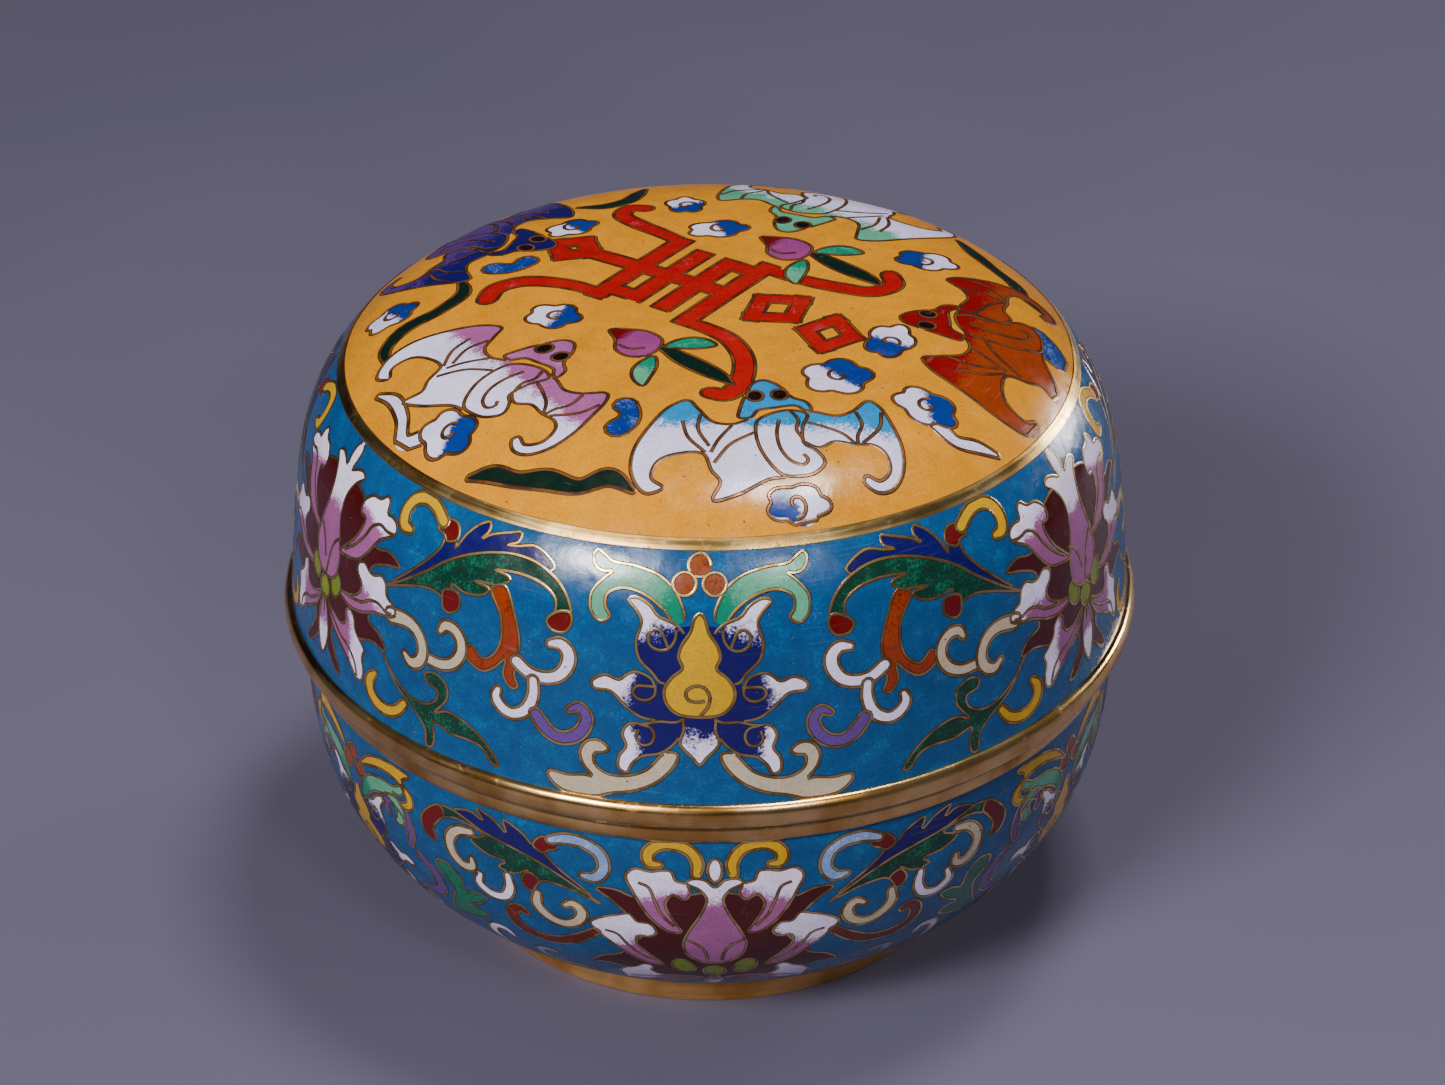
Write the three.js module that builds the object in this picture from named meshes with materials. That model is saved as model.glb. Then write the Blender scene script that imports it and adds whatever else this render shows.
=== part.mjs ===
// Round cloisonne enamel box with a lift-off domed lid. Millimetres, +Z up.
// The origin is the centre of the foot ring's underside.

import * as THREE from 'three';
import { mergeVertices } from 'three/addons/utils/BufferGeometryUtils.js';

// Rims: the two rolled brass edges that meet where the box opens
const rimRadius = 60;
const rimStep = 1.9;
const rollProud = 1.1;
const bowlRimHeight = 2.9;
const lidRimHeight = 3.1;
const collarWall = 1.2;
const collarHeight = 4;

// Enamelled copper shells
const wall = 2.4;
const bowlDepth = 39.1;
const lidSideHeight = 33;
const crownRise = 9.4;

// Foot ring
const footRadius = 36.5;
const footHeight = 3.5;
const footWidth = 2.6;
const footBevel = 0.4;

// Brass band round the top medallion
const medallionRadius = 50.6;
const bandWidth = 1.4;
const bandProud = 0.1;

// Clearances
const gap = 0.3;
const slip = 0.4;

// Shape of the curves, as shares of each shell's own height and as angles
const bowlSwell = 0.034;
const bowlShoulder = 0.46;
const bowlHaunch = 0.49;
const bowlLean = THREE.MathUtils.degToRad(31.8);
const lidShoulder = 0.27;
const lidSide = 0.57;
const lidDraw = 0.058;
const crownSoftShare = 0.23;
const crownPower = 7;

// How finely the round forms are cut
const around = 60;
const crownSteps = 6;
const sideSteps = 7;
const rollSteps = 6;

// Heights, from the floor up
const bowlBottom = footHeight + gap;
const bowlTop = bowlBottom + bowlDepth;
const bowlRimBottom = bowlTop + gap;
const bowlRimTop = bowlRimBottom + bowlRimHeight;
const lidRimBottom = bowlRimTop + gap;
const lidRimTop = lidRimBottom + lidRimHeight;
const lidBottom = lidRimTop + gap;
const shoulderHeight = lidBottom + lidSideHeight;
const crownTop = shoulderHeight + crownRise;

// Radii at the mouth, from the outside in
const bowlRimRadius = rimRadius - rimStep;
const lidMouth = rimRadius - rollProud;
const bowlMouth = bowlRimRadius - rollProud;
const lidInside = lidMouth - wall;
const collarOutside = lidInside - slip;
const collarInside = collarOutside - collarWall;

const bowlMaterial = new THREE.MeshStandardMaterial({ color: 0x2079a3, roughness: 0.25, metalness: 0 });
const lidMaterial = new THREE.MeshStandardMaterial({ color: 0x2382ab, roughness: 0.25, metalness: 0 });
const rimMaterial = new THREE.MeshStandardMaterial({ color: 0xd1a659, roughness: 0.28, metalness: 1 });
const lidRimMaterial = new THREE.MeshStandardMaterial({ color: 0xd8b36a, roughness: 0.28, metalness: 1 });
const footMaterial = new THREE.MeshStandardMaterial({ color: 0xc99b45, roughness: 0.35, metalness: 1 });
const bandMaterial = new THREE.MeshStandardMaterial({ color: 0xb68f4c, roughness: 0.35, metalness: 1 });

const point = (radius, height) => new THREE.Vector2(radius, height);

// A point at a distance and an angle from another, the angle measured up from level
function reach(from, distance, angle) {
  return point(from.x + distance * Math.cos(angle), from.y + distance * Math.sin(angle));
}

// The run moved to the left of its direction, corner by corner, by a wall's thickness
function offset(points, distance) {
  return points.map((here, i) => {
    const before = points[Math.max(i - 1, 0)];
    const after = points[Math.min(i + 1, points.length - 1)];
    const along = after.clone().sub(before).normalize();
    return point(here.x - along.y * distance, here.y + along.x * distance);
  });
}

// A section turned round the upright axis. It goes counter-clockwise, radius to the right.
function turned(name, section, material) {
  const geometry = new THREE.LatheGeometry(section, around);
  geometry.rotateX(Math.PI / 2);
  geometry.deleteAttribute('normal');
  geometry.deleteAttribute('uv');
  const closed = mergeVertices(geometry, 1e-4);
  closed.computeVertexNormals();
  const mesh = new THREE.Mesh(closed, material);
  mesh.name = name;
  return mesh;
}

// The half-round outside of a rolled edge, from its lower corner up to its upper one
function roll(radius, bottom, height) {
  const half = height / 2;
  const root = radius - rollProud;
  const points = [];
  for (let i = 0; i <= rollSteps; i += 1) {
    const angle = -Math.PI / 2 + (Math.PI * i) / rollSteps;
    points.push(point(root + rollProud * Math.cos(angle), bottom + half + half * Math.sin(angle)));
  }
  return points;
}

// Bowl: from the flat underside up the belly to the mouth, then down the inside
function makeBowl() {
  const foot = point(footRadius, bowlBottom);
  const mouth = point(bowlMouth, bowlTop);
  const haunch = reach(foot, bowlDepth * bowlHaunch, bowlLean);
  const shoulder = point(mouth.x + bowlDepth * bowlSwell, mouth.y - bowlDepth * bowlShoulder);
  const side = new THREE.CubicBezierCurve(foot, haunch, shoulder, mouth).getPoints(sideSteps);
  const inside = offset(side, wall).reverse();
  inside[0] = point(bowlMouth - wall, bowlTop);
  inside[inside.length - 1] = point(inside[inside.length - 1].x, bowlBottom + wall);
  const section = [point(0, bowlBottom), ...side, ...inside, point(0, bowlBottom + wall)];
  return turned('bowl', section, bowlMaterial);
}

// Bowl rim: a brass roll on the bowl's edge, with a collar that keeps the lid in place
function makeBowlRim() {
  const section = [
    point(collarInside, bowlRimBottom),
    ...roll(bowlRimRadius, bowlRimBottom, bowlRimHeight),
    point(collarOutside, bowlRimTop),
    point(collarOutside, bowlRimTop + collarHeight),
    point(collarInside, bowlRimTop + collarHeight),
    point(collarInside, bowlRimBottom),
  ];
  return turned('bowl_rim', section, rimMaterial);
}

// Foot ring: a plain brass band with its corners eased
function makeFootRing() {
  const inside = footRadius - footWidth;
  const section = [
    point(inside, 0),
    point(footRadius - footBevel, 0),
    point(footRadius, footBevel),
    point(footRadius, footHeight),
    point(inside, footHeight),
    point(inside, 0),
  ];
  return turned('foot_ring', section, footMaterial);
}

// Lid rim: a brass roll under the lid's edge, flush with the lid inside
function makeLidRim() {
  const section = [
    point(lidInside, lidRimBottom),
    ...roll(rimRadius, lidRimBottom, lidRimHeight),
    point(lidInside, lidRimTop),
    point(lidInside, lidRimBottom),
  ];
  return turned('lid_rim', section, lidRimMaterial);
}

// The crown is nearly level in the middle and turns down quickly at the medallion's edge
function crownHeight(radius) {
  const share = radius / medallionRadius;
  const soft = crownSoftShare * share ** 2;
  const firm = (1 - crownSoftShare) * share ** crownPower;
  return crownTop - crownRise * (soft + firm);
}

const crownEdge = point(medallionRadius, shoulderHeight);
const edgeSlope = (crownRise / medallionRadius) * (2 * crownSoftShare + crownPower * (1 - crownSoftShare));
const edgeAngle = Math.atan(edgeSlope);
const bandBed = wall / 2;

// A place beside the crown's edge: so far down the slope, and so far out of the surface
function besideEdge(down, out) {
  return reach(reach(crownEdge, down, -edgeAngle), out, Math.PI / 2 - edgeAngle);
}

// Lid: up the inside to the crown, and back over the outside with the band's groove in it
function makeLid() {
  const mouth = point(lidMouth, lidBottom);
  const grooveFoot = besideEdge(gap, 0);
  const grooveTop = besideEdge(-bandWidth - gap, 0).x;
  const side = new THREE.CubicBezierCurve(
    mouth,
    point(mouth.x - lidSideHeight * lidDraw, mouth.y + lidSideHeight * lidSide),
    reach(grooveFoot, lidSideHeight * lidShoulder, -edgeAngle),
    grooveFoot,
  ).getPoints(sideSteps);
  const crown = [];
  for (let i = crownSteps; i >= 0; i -= 1) {
    const radius = grooveTop * Math.sqrt(i / crownSteps);
    crown.push(point(radius, crownHeight(radius)));
  }
  const groove = [besideEdge(gap, -bandBed), besideEdge(-bandWidth - gap, -bandBed)];
  const inside = offset([...side, ...crown.slice(0, -1)], wall).reverse();
  inside[inside.length - 1] = point(lidInside, lidBottom);
  const section = [point(0, crownTop - wall), ...inside, ...side, ...groove, ...crown];
  return turned('lid', section, lidMaterial);
}

// Medallion ring: the brass band let into the lid where the crown turns down
function makeMedallionRing() {
  const depth = bandBed - gap;
  const section = [
    besideEdge(-bandWidth, -depth),
    besideEdge(0, -depth),
    besideEdge(0, bandProud),
    besideEdge(-bandWidth, bandProud),
    besideEdge(-bandWidth, -depth),
  ];
  return turned('medallion_ring', section, bandMaterial);
}

const box = new THREE.Group();
box.add(makeBowl(), makeBowlRim(), makeFootRing(), makeLidRim(), makeLid(), makeMedallionRing());

export default box;
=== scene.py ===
import math

import bpy
import numpy as np
from mathutils import Matrix, Vector
from mathutils.geometry import delaunay_2d_cdt


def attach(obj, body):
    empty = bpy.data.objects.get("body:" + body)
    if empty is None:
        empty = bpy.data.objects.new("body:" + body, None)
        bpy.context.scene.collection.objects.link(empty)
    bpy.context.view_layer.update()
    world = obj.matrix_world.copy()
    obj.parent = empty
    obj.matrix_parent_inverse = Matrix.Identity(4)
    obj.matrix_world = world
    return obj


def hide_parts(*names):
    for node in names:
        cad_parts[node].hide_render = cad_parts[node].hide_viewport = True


# Round cloisonne enamel box. Sizes are in millimetres until a mesh is made.
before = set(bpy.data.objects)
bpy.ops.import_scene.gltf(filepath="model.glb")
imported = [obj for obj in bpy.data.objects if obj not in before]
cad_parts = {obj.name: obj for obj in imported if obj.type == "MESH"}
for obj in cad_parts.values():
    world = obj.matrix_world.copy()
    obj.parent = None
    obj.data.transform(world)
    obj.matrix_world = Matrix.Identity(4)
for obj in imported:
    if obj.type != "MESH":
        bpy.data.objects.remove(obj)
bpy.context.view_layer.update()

MM = 0.001
TAU = 2 * math.pi

# Driving sizes, as in the solids. Only the band round the medallion is 0.1 wider here.
RIM_RADIUS = 60.0
RIM_STEP = 1.9
ROLL_PROUD = 1.1
WALL = 2.4
BOWL_DEPTH = 39.1
LID_SIDE_HEIGHT = 33.0
CROWN_RISE = 9.4
FOOT_RADIUS = 36.5
FOOT_HEIGHT = 3.5
FOOT_WIDTH = 2.6
MEDALLION_RADIUS = 50.6
BAND_WIDTH = 1.5
BOWL_RIM_HEIGHT = 2.9
LID_RIM_HEIGHT = 3.1
GAP = 0.3
SLIP = 0.4
COLLAR_WALL = 1.2
COLLAR_HEIGHT = 4.0
CROWN_SOFT_SHARE = 0.23
CROWN_POWER = 7

# Shape of the curves, as shares of each shell's own height
BOWL_SWELL = 0.034
BOWL_SHOULDER = 0.46
BOWL_HAUNCH = 0.49
BOWL_LEAN = math.radians(31.8)
LID_SHOULDER = 0.27
LID_SIDE = 0.57
LID_DRAW = 0.058

# How finely the forms are cut
SEGMENTS = 360
PROFILE_STEPS = 200
OUTLINE_STEP = 0.45
CURVE_SAMPLES = 12
ELLIPSE_POINTS = 10
CAP_POINTS = 6
BAR_STEP = 0.5
ROLL_STEPS = 18
DISC_ROWS = 12
CROWN_ROWS = 40
INSIDE_STRIDE = 5
GRID_PITCH = 1.3
WELD = 1e-3

# A wire's section, and how far it ends from the edge of a cell that lies over it
WIRE_HALF = 0.25
TOP_WIRE_HALF = 0.27
WIRE_FLAT = 0.11
WIRE_PROUD = 0.04
WIRE_SUNK = 0.12
WIRE_FOOT = 0.004
WIRE_CLEAR = 0.33

# How far the wires stay from a band's edges and from the medallion's brass band
BAND_MARGIN = 0.25
TOP_MARGIN = 0.4

# Heights and radii that follow
BOWL_BOTTOM = FOOT_HEIGHT + GAP
BOWL_TOP = BOWL_BOTTOM + BOWL_DEPTH
BOWL_RIM_BOTTOM = BOWL_TOP + GAP
BOWL_RIM_TOP = BOWL_RIM_BOTTOM + BOWL_RIM_HEIGHT
LID_RIM_BOTTOM = BOWL_RIM_TOP + GAP
LID_RIM_TOP = LID_RIM_BOTTOM + LID_RIM_HEIGHT
LID_BOTTOM = LID_RIM_TOP + GAP
SHOULDER = LID_BOTTOM + LID_SIDE_HEIGHT
CROWN_TOP = SHOULDER + CROWN_RISE
BOWL_RIM_RADIUS = RIM_RADIUS - RIM_STEP
LID_MOUTH = RIM_RADIUS - ROLL_PROUD
BOWL_MOUTH = BOWL_RIM_RADIUS - ROLL_PROUD
LID_INSIDE = LID_MOUTH - WALL
COLLAR_OUTSIDE = LID_INSIDE - SLIP
COLLAR_INSIDE = COLLAR_OUTSIDE - COLLAR_WALL
EDGE_SLOPE = CROWN_RISE / MEDALLION_RADIUS * (2 * CROWN_SOFT_SHARE + CROWN_POWER * (1 - CROWN_SOFT_SHARE))
EDGE_ANGLE = math.atan(EDGE_SLOPE)


# Curves
def reach(start, distance, angle):
    return (start[0] + distance * math.cos(angle), start[1] + distance * math.sin(angle))


def bezier(p0, p1, p2, p3, steps):
    t = np.linspace(0, 1, steps + 1)[:, None]
    a, b, c, d = (np.array(p, float) for p in (p0, p1, p2, p3))
    return (1 - t) ** 3 * a + 3 * (1 - t) ** 2 * t * b + 3 * (1 - t) * t * t * c + t ** 3 * d


def spline(points, closed, step):
    """A smooth curve through points of any number of columns, cut at even steps along its length."""
    p = np.array(points, float)
    if closed:
        p = np.vstack([p[-1], p, p[0], p[1]])
    else:
        p = np.vstack([2 * p[0] - p[1], p, 2 * p[-1] - p[-2]])
    dense = []
    for p0, p1, p2, p3 in zip(p, p[1:], p[2:], p[3:]):
        k01, k12, k23 = (max(np.linalg.norm((b - a)[:2]), 1e-4) ** 0.5
            for a, b in ((p0, p1), (p1, p2), (p2, p3)))
        m1 = (p2 - p1) + k12 * ((p1 - p0) / k01 - (p2 - p0) / (k01 + k12))
        m2 = (p2 - p1) + k12 * ((p3 - p2) / k23 - (p3 - p1) / (k12 + k23))
        t = np.linspace(0, 1, CURVE_SAMPLES, endpoint=False)[:, None]
        dense.append((2 * t**3 - 3 * t**2 + 1) * p1 + (t**3 - 2 * t**2 + t) * m1
            + (3 * t**2 - 2 * t**3) * p2 + (t**3 - t**2) * m2)
    curve = np.vstack(dense + [p[-2][None]])
    along = np.r_[0, np.cumsum(np.linalg.norm(np.diff(curve[:, :2], axis=0), axis=1))]
    count = max(int(math.ceil(along[-1] / step)), 3)
    at = np.linspace(0, along[-1], count + 1)
    if closed:
        at = at[:-1]
    return np.stack([np.interp(at, along, curve[:, k]) for k in range(curve.shape[1])], axis=1)


# Profiles of revolution, as radius and height
def crown_height(radius):
    share = np.asarray(radius) / MEDALLION_RADIUS
    return CROWN_TOP - CROWN_RISE * (CROWN_SOFT_SHARE * share**2
        + (1 - CROWN_SOFT_SHARE) * share**CROWN_POWER)


def lid_side_profile():
    mouth = (LID_MOUTH, LID_BOTTOM)
    edge = (MEDALLION_RADIUS, SHOULDER)
    rise = (mouth[0] - LID_DRAW * LID_SIDE_HEIGHT, mouth[1] + LID_SIDE * LID_SIDE_HEIGHT)
    shoulder = reach(edge, LID_SHOULDER * LID_SIDE_HEIGHT, -EDGE_ANGLE)
    return bezier(mouth, rise, shoulder, edge, PROFILE_STEPS)


def bowl_side_profile():
    foot = (FOOT_RADIUS, BOWL_BOTTOM)
    mouth = (BOWL_MOUTH, BOWL_TOP)
    haunch = reach(foot, BOWL_HAUNCH * BOWL_DEPTH, BOWL_LEAN)
    swell = (mouth[0] + BOWL_SWELL * BOWL_DEPTH, mouth[1] - BOWL_SHOULDER * BOWL_DEPTH)
    return bezier(foot, haunch, swell, mouth, PROFILE_STEPS)


def inset(profile, distance):
    """The profile moved to its left by a distance."""
    along = np.gradient(profile, axis=0)
    along /= np.linalg.norm(along, axis=1)[:, None]
    return profile + distance * np.stack([-along[:, 1], along[:, 0]], axis=1)


class Band:
    """A band of revolution, unrolled: x runs round it from the front, y up along its profile.
    A sixth of a turn is half_repeat wide. The pattern starts at an angle, and ease widens it in front."""

    def __init__(self, profile, half_repeat, start, ease):
        self.profile = profile
        self.start = start
        self.half_repeat = half_repeat
        self.ease = ease
        self.along = np.r_[0, np.cumsum(np.linalg.norm(np.diff(profile, axis=0), axis=1))]
        self.length = self.along[-1]

    def place(self, flat, out=0.0):
        """Points and outward normals of the band at flat places, raised by a height out."""
        flat = np.asarray(flat, float)
        angle = flat[:, 0] / self.half_repeat * TAU / 6
        angle = self.start + angle + self.ease * np.sin(angle)
        y = np.clip(flat[:, 1], 0, self.length)
        radius = np.interp(y, self.along, self.profile[:, 0])
        height = np.interp(y, self.along, self.profile[:, 1])
        slope = np.gradient(self.profile, axis=0)
        slope /= np.linalg.norm(slope, axis=1)[:, None]
        side = np.interp(y, self.along, slope[:, 1])
        up = -np.interp(y, self.along, slope[:, 0])
        normal = np.stack([side * np.sin(angle), -side * np.cos(angle), up], axis=1)
        point = np.stack([radius * np.sin(angle), -radius * np.cos(angle), height], axis=1)
        return point + normal * np.reshape(out, (-1, 1)), normal


class Crown:
    """The top of the lid, seen from straight above."""

    def place(self, flat, out=0.0):
        flat = np.asarray(flat, float)
        radius = np.linalg.norm(flat, axis=1)
        share = radius / MEDALLION_RADIUS
        steep = CROWN_RISE / MEDALLION_RADIUS * (2 * CROWN_SOFT_SHARE * share
            + CROWN_POWER * (1 - CROWN_SOFT_SHARE) * share ** (CROWN_POWER - 1))
        unit = flat / np.maximum(radius, 1e-6)[:, None]
        normal = np.column_stack([unit * steep[:, None], np.ones(len(flat))])
        normal /= np.linalg.norm(normal, axis=1)[:, None]
        point = np.column_stack([flat, crown_height(radius)])
        return point + normal * np.reshape(out, (-1, 1)), normal


# Colours as they look, from sRGB. The light softens a glaze, so it is mixed deeper than it looks.
GLAZE_DEPTH = 0.50
GLAZE_STRENGTH = 1.4


def srgb(text):
    parts = [int(text[i:i + 2], 16) / 255 for i in (0, 2, 4)]
    return tuple(c / 12.92 if c <= 0.04045 else ((c + 0.055) / 1.055) ** 2.4 for c in parts)


def glaze(text):
    red, green, blue = srgb(text)
    grey = 0.21 * red + 0.72 * green + 0.07 * blue
    return tuple(max(0.002, GLAZE_DEPTH * (grey + GLAZE_STRENGTH * (c - grey))) for c in (red, green, blue))


TURQUOISE = glaze("225c90")
TURQUOISE_PALE = glaze("3c80ae")
SUN = glaze("fab408")
SUN_PALE = glaze("fabc14")
COBALT = glaze("1a0a62")
COBALT_MID = glaze("2c1e80")
WHITE = srgb("ddd0ee")
LILAC_WHITE = srgb("cdc5e4")
CREAM = glaze("f0e0cc")
CREAM_DEEP = glaze("d8c0a0")
CURL_YELLOW = glaze("f2c668")
CURL_YELLOW_DEEP = glaze("d8a040")
LEAF = glaze("0c4236")
LEAF_PALE = glaze("3a8a70")
MINT = glaze("8cc8ac")
MINT_DEEP = glaze("4a9a80")
RED = glaze("b81e10")
RED_DEEP = glaze("8e1408")
BRICK = glaze("b04c30")
DOT_BRICK = glaze("a05a42")
RUST = glaze("a0503a")
TIP_RED = glaze("701010")
ORANGE = glaze("a44e2a")
ORANGE_DEEP = glaze("6a2a10")
PURPLE = glaze("74569a")
PURPLE_DEEP = glaze("604488")
MAROON = glaze("4c1014")
MAROON_PALE = glaze("641c20")
PINK = glaze("b878a8")
PLUM = glaze("a2588e")
PINK_PALE = glaze("dda9cf")
LIME = glaze("8fa42c")
SKY = glaze("4fa4dc")
PALE_BLUE = glaze("a4bcec")
ROYAL = glaze("1e3f90")
PINE = glaze("08281f")
BLACK = glaze("0c0808")
COPPER_RED = glaze("a8401c")
COUNTER_ENAMEL = glaze("1f6f9e")
COUNTER_PALE = glaze("3285b0")

# Pairs of colours for a cell, and how much the one is mottled with the other
PLAIN_MOTTLE = 0.25
PLAIN_BLEND = 0.33
TURNED_BLEND = 0.26
BLUES = (COBALT, COBALT_MID, 0.35)
PALE_BLUES = (PALE_BLUE, WHITE, 0.5)
GREENS = (LEAF, LEAF_PALE, 0.9)
CREAMS = (CREAM, CREAM_DEEP, 0.4)
YELLOWS = (CURL_YELLOW, CURL_YELLOW_DEEP, 0.5)
LIMES = (LIME, CURL_YELLOW, 0.3)
ORANGES = (ORANGE, ORANGE_DEEP, 0.9)
PURPLES = (PURPLE, PURPLE_DEEP, 0.6)
MAROONS = (MAROON, MAROON_PALE, 0.35)
WHITES = (WHITE, PINK_PALE, PLAIN_MOTTLE)
TIP_REDS = (TIP_RED, RED_DEEP, PLAIN_MOTTLE)
FRET_REDS = (RED, BRICK, 0.45)
BAND_GROUND = (TURQUOISE, TURQUOISE_PALE, 0.75)
TOP_GROUND = (SUN, SUN_PALE, 0.6)
COUNTER_GROUND = (COUNTER_ENAMEL, COUNTER_PALE, 0.7)
EDGE_GROUND = (COPPER_RED, COUNTER_ENAMEL, 0.5)


class Drawing:
    """Flat enamel cells, in the order they are laid, and the wires that part them."""

    def __init__(self):
        self.cells = []
        self.wires = []

    def lay(self, ring, colour, other, fade, mottle, wired, joined):
        """One more cell on top. A joined cell runs into the joined ones before it, with no wire between."""
        if wired:
            self.wires.append((None, len(self.cells), joined))
        self.cells.append((ring, colour, other, fade, mottle, joined))

    def cell(self, outline, colour, other, mottle=PLAIN_MOTTLE, fade=None, wired=True):
        """A closed cell. Its colour turns into the other one along fade, from one place to another."""
        self.lay(spline(outline, True, OUTLINE_STEP), colour, other, fade, mottle, wired, None)

    def stroke(self, points, colour, other, mottle=PLAIN_MOTTLE, joined=None):
        """A curl or a stem: a centre line of x, y and width, with round ends."""
        line = spline(points, False, OUTLINE_STEP)
        along = np.gradient(line[:, :2], axis=0)
        along /= np.linalg.norm(along, axis=1)[:, None]
        side = np.stack([-along[:, 1], along[:, 0]], axis=1)
        half = line[:, 2:3] / 2
        left, right = line[:, :2] + side * half, line[:, :2] - side * half
        caps = []
        for end, sign in ((-1, 1), (0, -1)):
            turn = np.linspace(0, math.pi, CAP_POINTS)[1:-1, None]
            caps.append(line[end, :2] + half[end] * sign
                * (side[end] * np.cos(turn) + along[end] * np.sin(turn)))
        ring = np.vstack([left, caps[0], right[::-1], caps[1]])
        self.lay(ring, colour, other, None, mottle, True, joined)

    def bar(self, start, end, width, colour, other, mottle, joined):
        """A straight bar with square ends."""
        a, b = np.array(start, float), np.array(end, float)
        along = (b - a) / np.linalg.norm(b - a)
        side = np.array([-along[1], along[0]]) * width / 2
        a, b = a - along * width / 2, b + along * width / 2
        corners = [a - side, b - side, b + side, a + side, a - side]
        ring = []
        for p, q in zip(corners, corners[1:]):
            count = max(int(np.linalg.norm(q - p) / BAR_STEP), 1)
            ring += [p + (q - p) * k / count for k in range(count)]
        self.lay(np.array(ring), colour, other, None, mottle, True, joined)

    def wire(self, points, step=OUTLINE_STEP):
        """A loose wire on top of the last cell."""
        self.wires.append((spline(points, False, step), len(self.cells), None))

    def moved(self, change):
        """A copy with every place changed by a function of an array of places."""
        copy = Drawing()
        for ring, colour, other, fade, mottle, joined in self.cells:
            new_fade = None if fade is None else tuple(map(tuple, change(np.array(fade, float))))
            copy.cells.append((change(ring), colour, other, new_fade, mottle, joined))
        copy.wires = [(None if line is None else change(line), above, joined)
            for line, above, joined in self.wires]
        return copy

    def add(self, drawing):
        count = len(self.cells)
        self.cells += drawing.cells
        self.wires += [(line, above + count, joined) for line, above, joined in drawing.wires]

    def bare_wires(self):
        """The runs of wire that no later cell covers. Each run is a line of places."""
        runs = []
        for line, above, joined in self.wires:
            closed = line is None
            path = self.cells[above][0] if closed else line
            path = np.vstack([path, path[:1]]) if closed else path
            shown = np.ones(len(path), bool)
            low, high = path.min(axis=0) - WIRE_CLEAR, path.max(axis=0) + WIRE_CLEAR
            for index, cell in enumerate(self.cells):
                same = joined is not None and cell[5] == joined
                if index == above and closed or index < above and not same:
                    continue
                ring = cell[0]
                if (ring.min(axis=0) > high).any() or (ring.max(axis=0) < low).any():
                    continue
                if index < above:
                    shown &= ~inside(path, ring)
                else:
                    shown &= ~(inside(path, ring) | near(path, ring, 0.0 if same else WIRE_CLEAR))
            edges = np.flatnonzero(np.diff(np.r_[0, shown.astype(int), 0]))
            for start, end in zip(edges[::2], edges[1::2]):
                first, last = max(start - 1, 0), min(end + 1, len(path))
                if last - first > 2:
                    runs.append(path[first:last])
        return runs


def inside(points, ring):
    """Which points lie inside a closed ring."""
    x, y = points[:, 0][:, None], points[:, 1][:, None]
    x0, y0 = ring[:, 0], ring[:, 1]
    x1, y1 = np.roll(x0, -1), np.roll(y0, -1)
    crosses = (y0 > y) != (y1 > y)
    rise = np.where(y1 == y0, 1e-9, y1 - y0)
    return (crosses & (x < (x1 - x0) * (y - y0) / rise + x0)).sum(axis=1) % 2 == 1


def near(points, ring, distance):
    """Which points lie within a distance of a closed ring."""
    a = ring
    b = np.roll(ring, -1, axis=0) - a
    offset = points[:, None, :] - a[None]
    share = np.clip((offset * b).sum(axis=2) / np.maximum((b * b).sum(axis=1), 1e-9), 0, 1)
    gap = offset - share[:, :, None] * b[None]
    return (gap**2).sum(axis=2).min(axis=1) < distance**2


def ellipse(x, y, rx, ry, turn=0.0):
    angle = np.linspace(0, TAU, ELLIPSE_POINTS, endpoint=False)
    c, s = math.cos(turn), math.sin(turn)
    ex, ey = rx * np.cos(angle), ry * np.sin(angle)
    return np.stack([x + c * ex - s * ey, y + s * ex + c * ey], axis=1)


def both_sides(half):
    """A closed outline from its right half, which runs from the axis back to the axis."""
    half = list(half)
    return half + [(-x, y) for x, y in reversed(half) if abs(x) > 1e-6]


def turned(points, degrees, centre=(0, 0)):
    a = math.radians(degrees)
    matrix = np.array([[math.cos(a), math.sin(a)], [-math.sin(a), math.cos(a)]])
    return (np.asarray(points, float) - centre) @ matrix + centre


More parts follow.
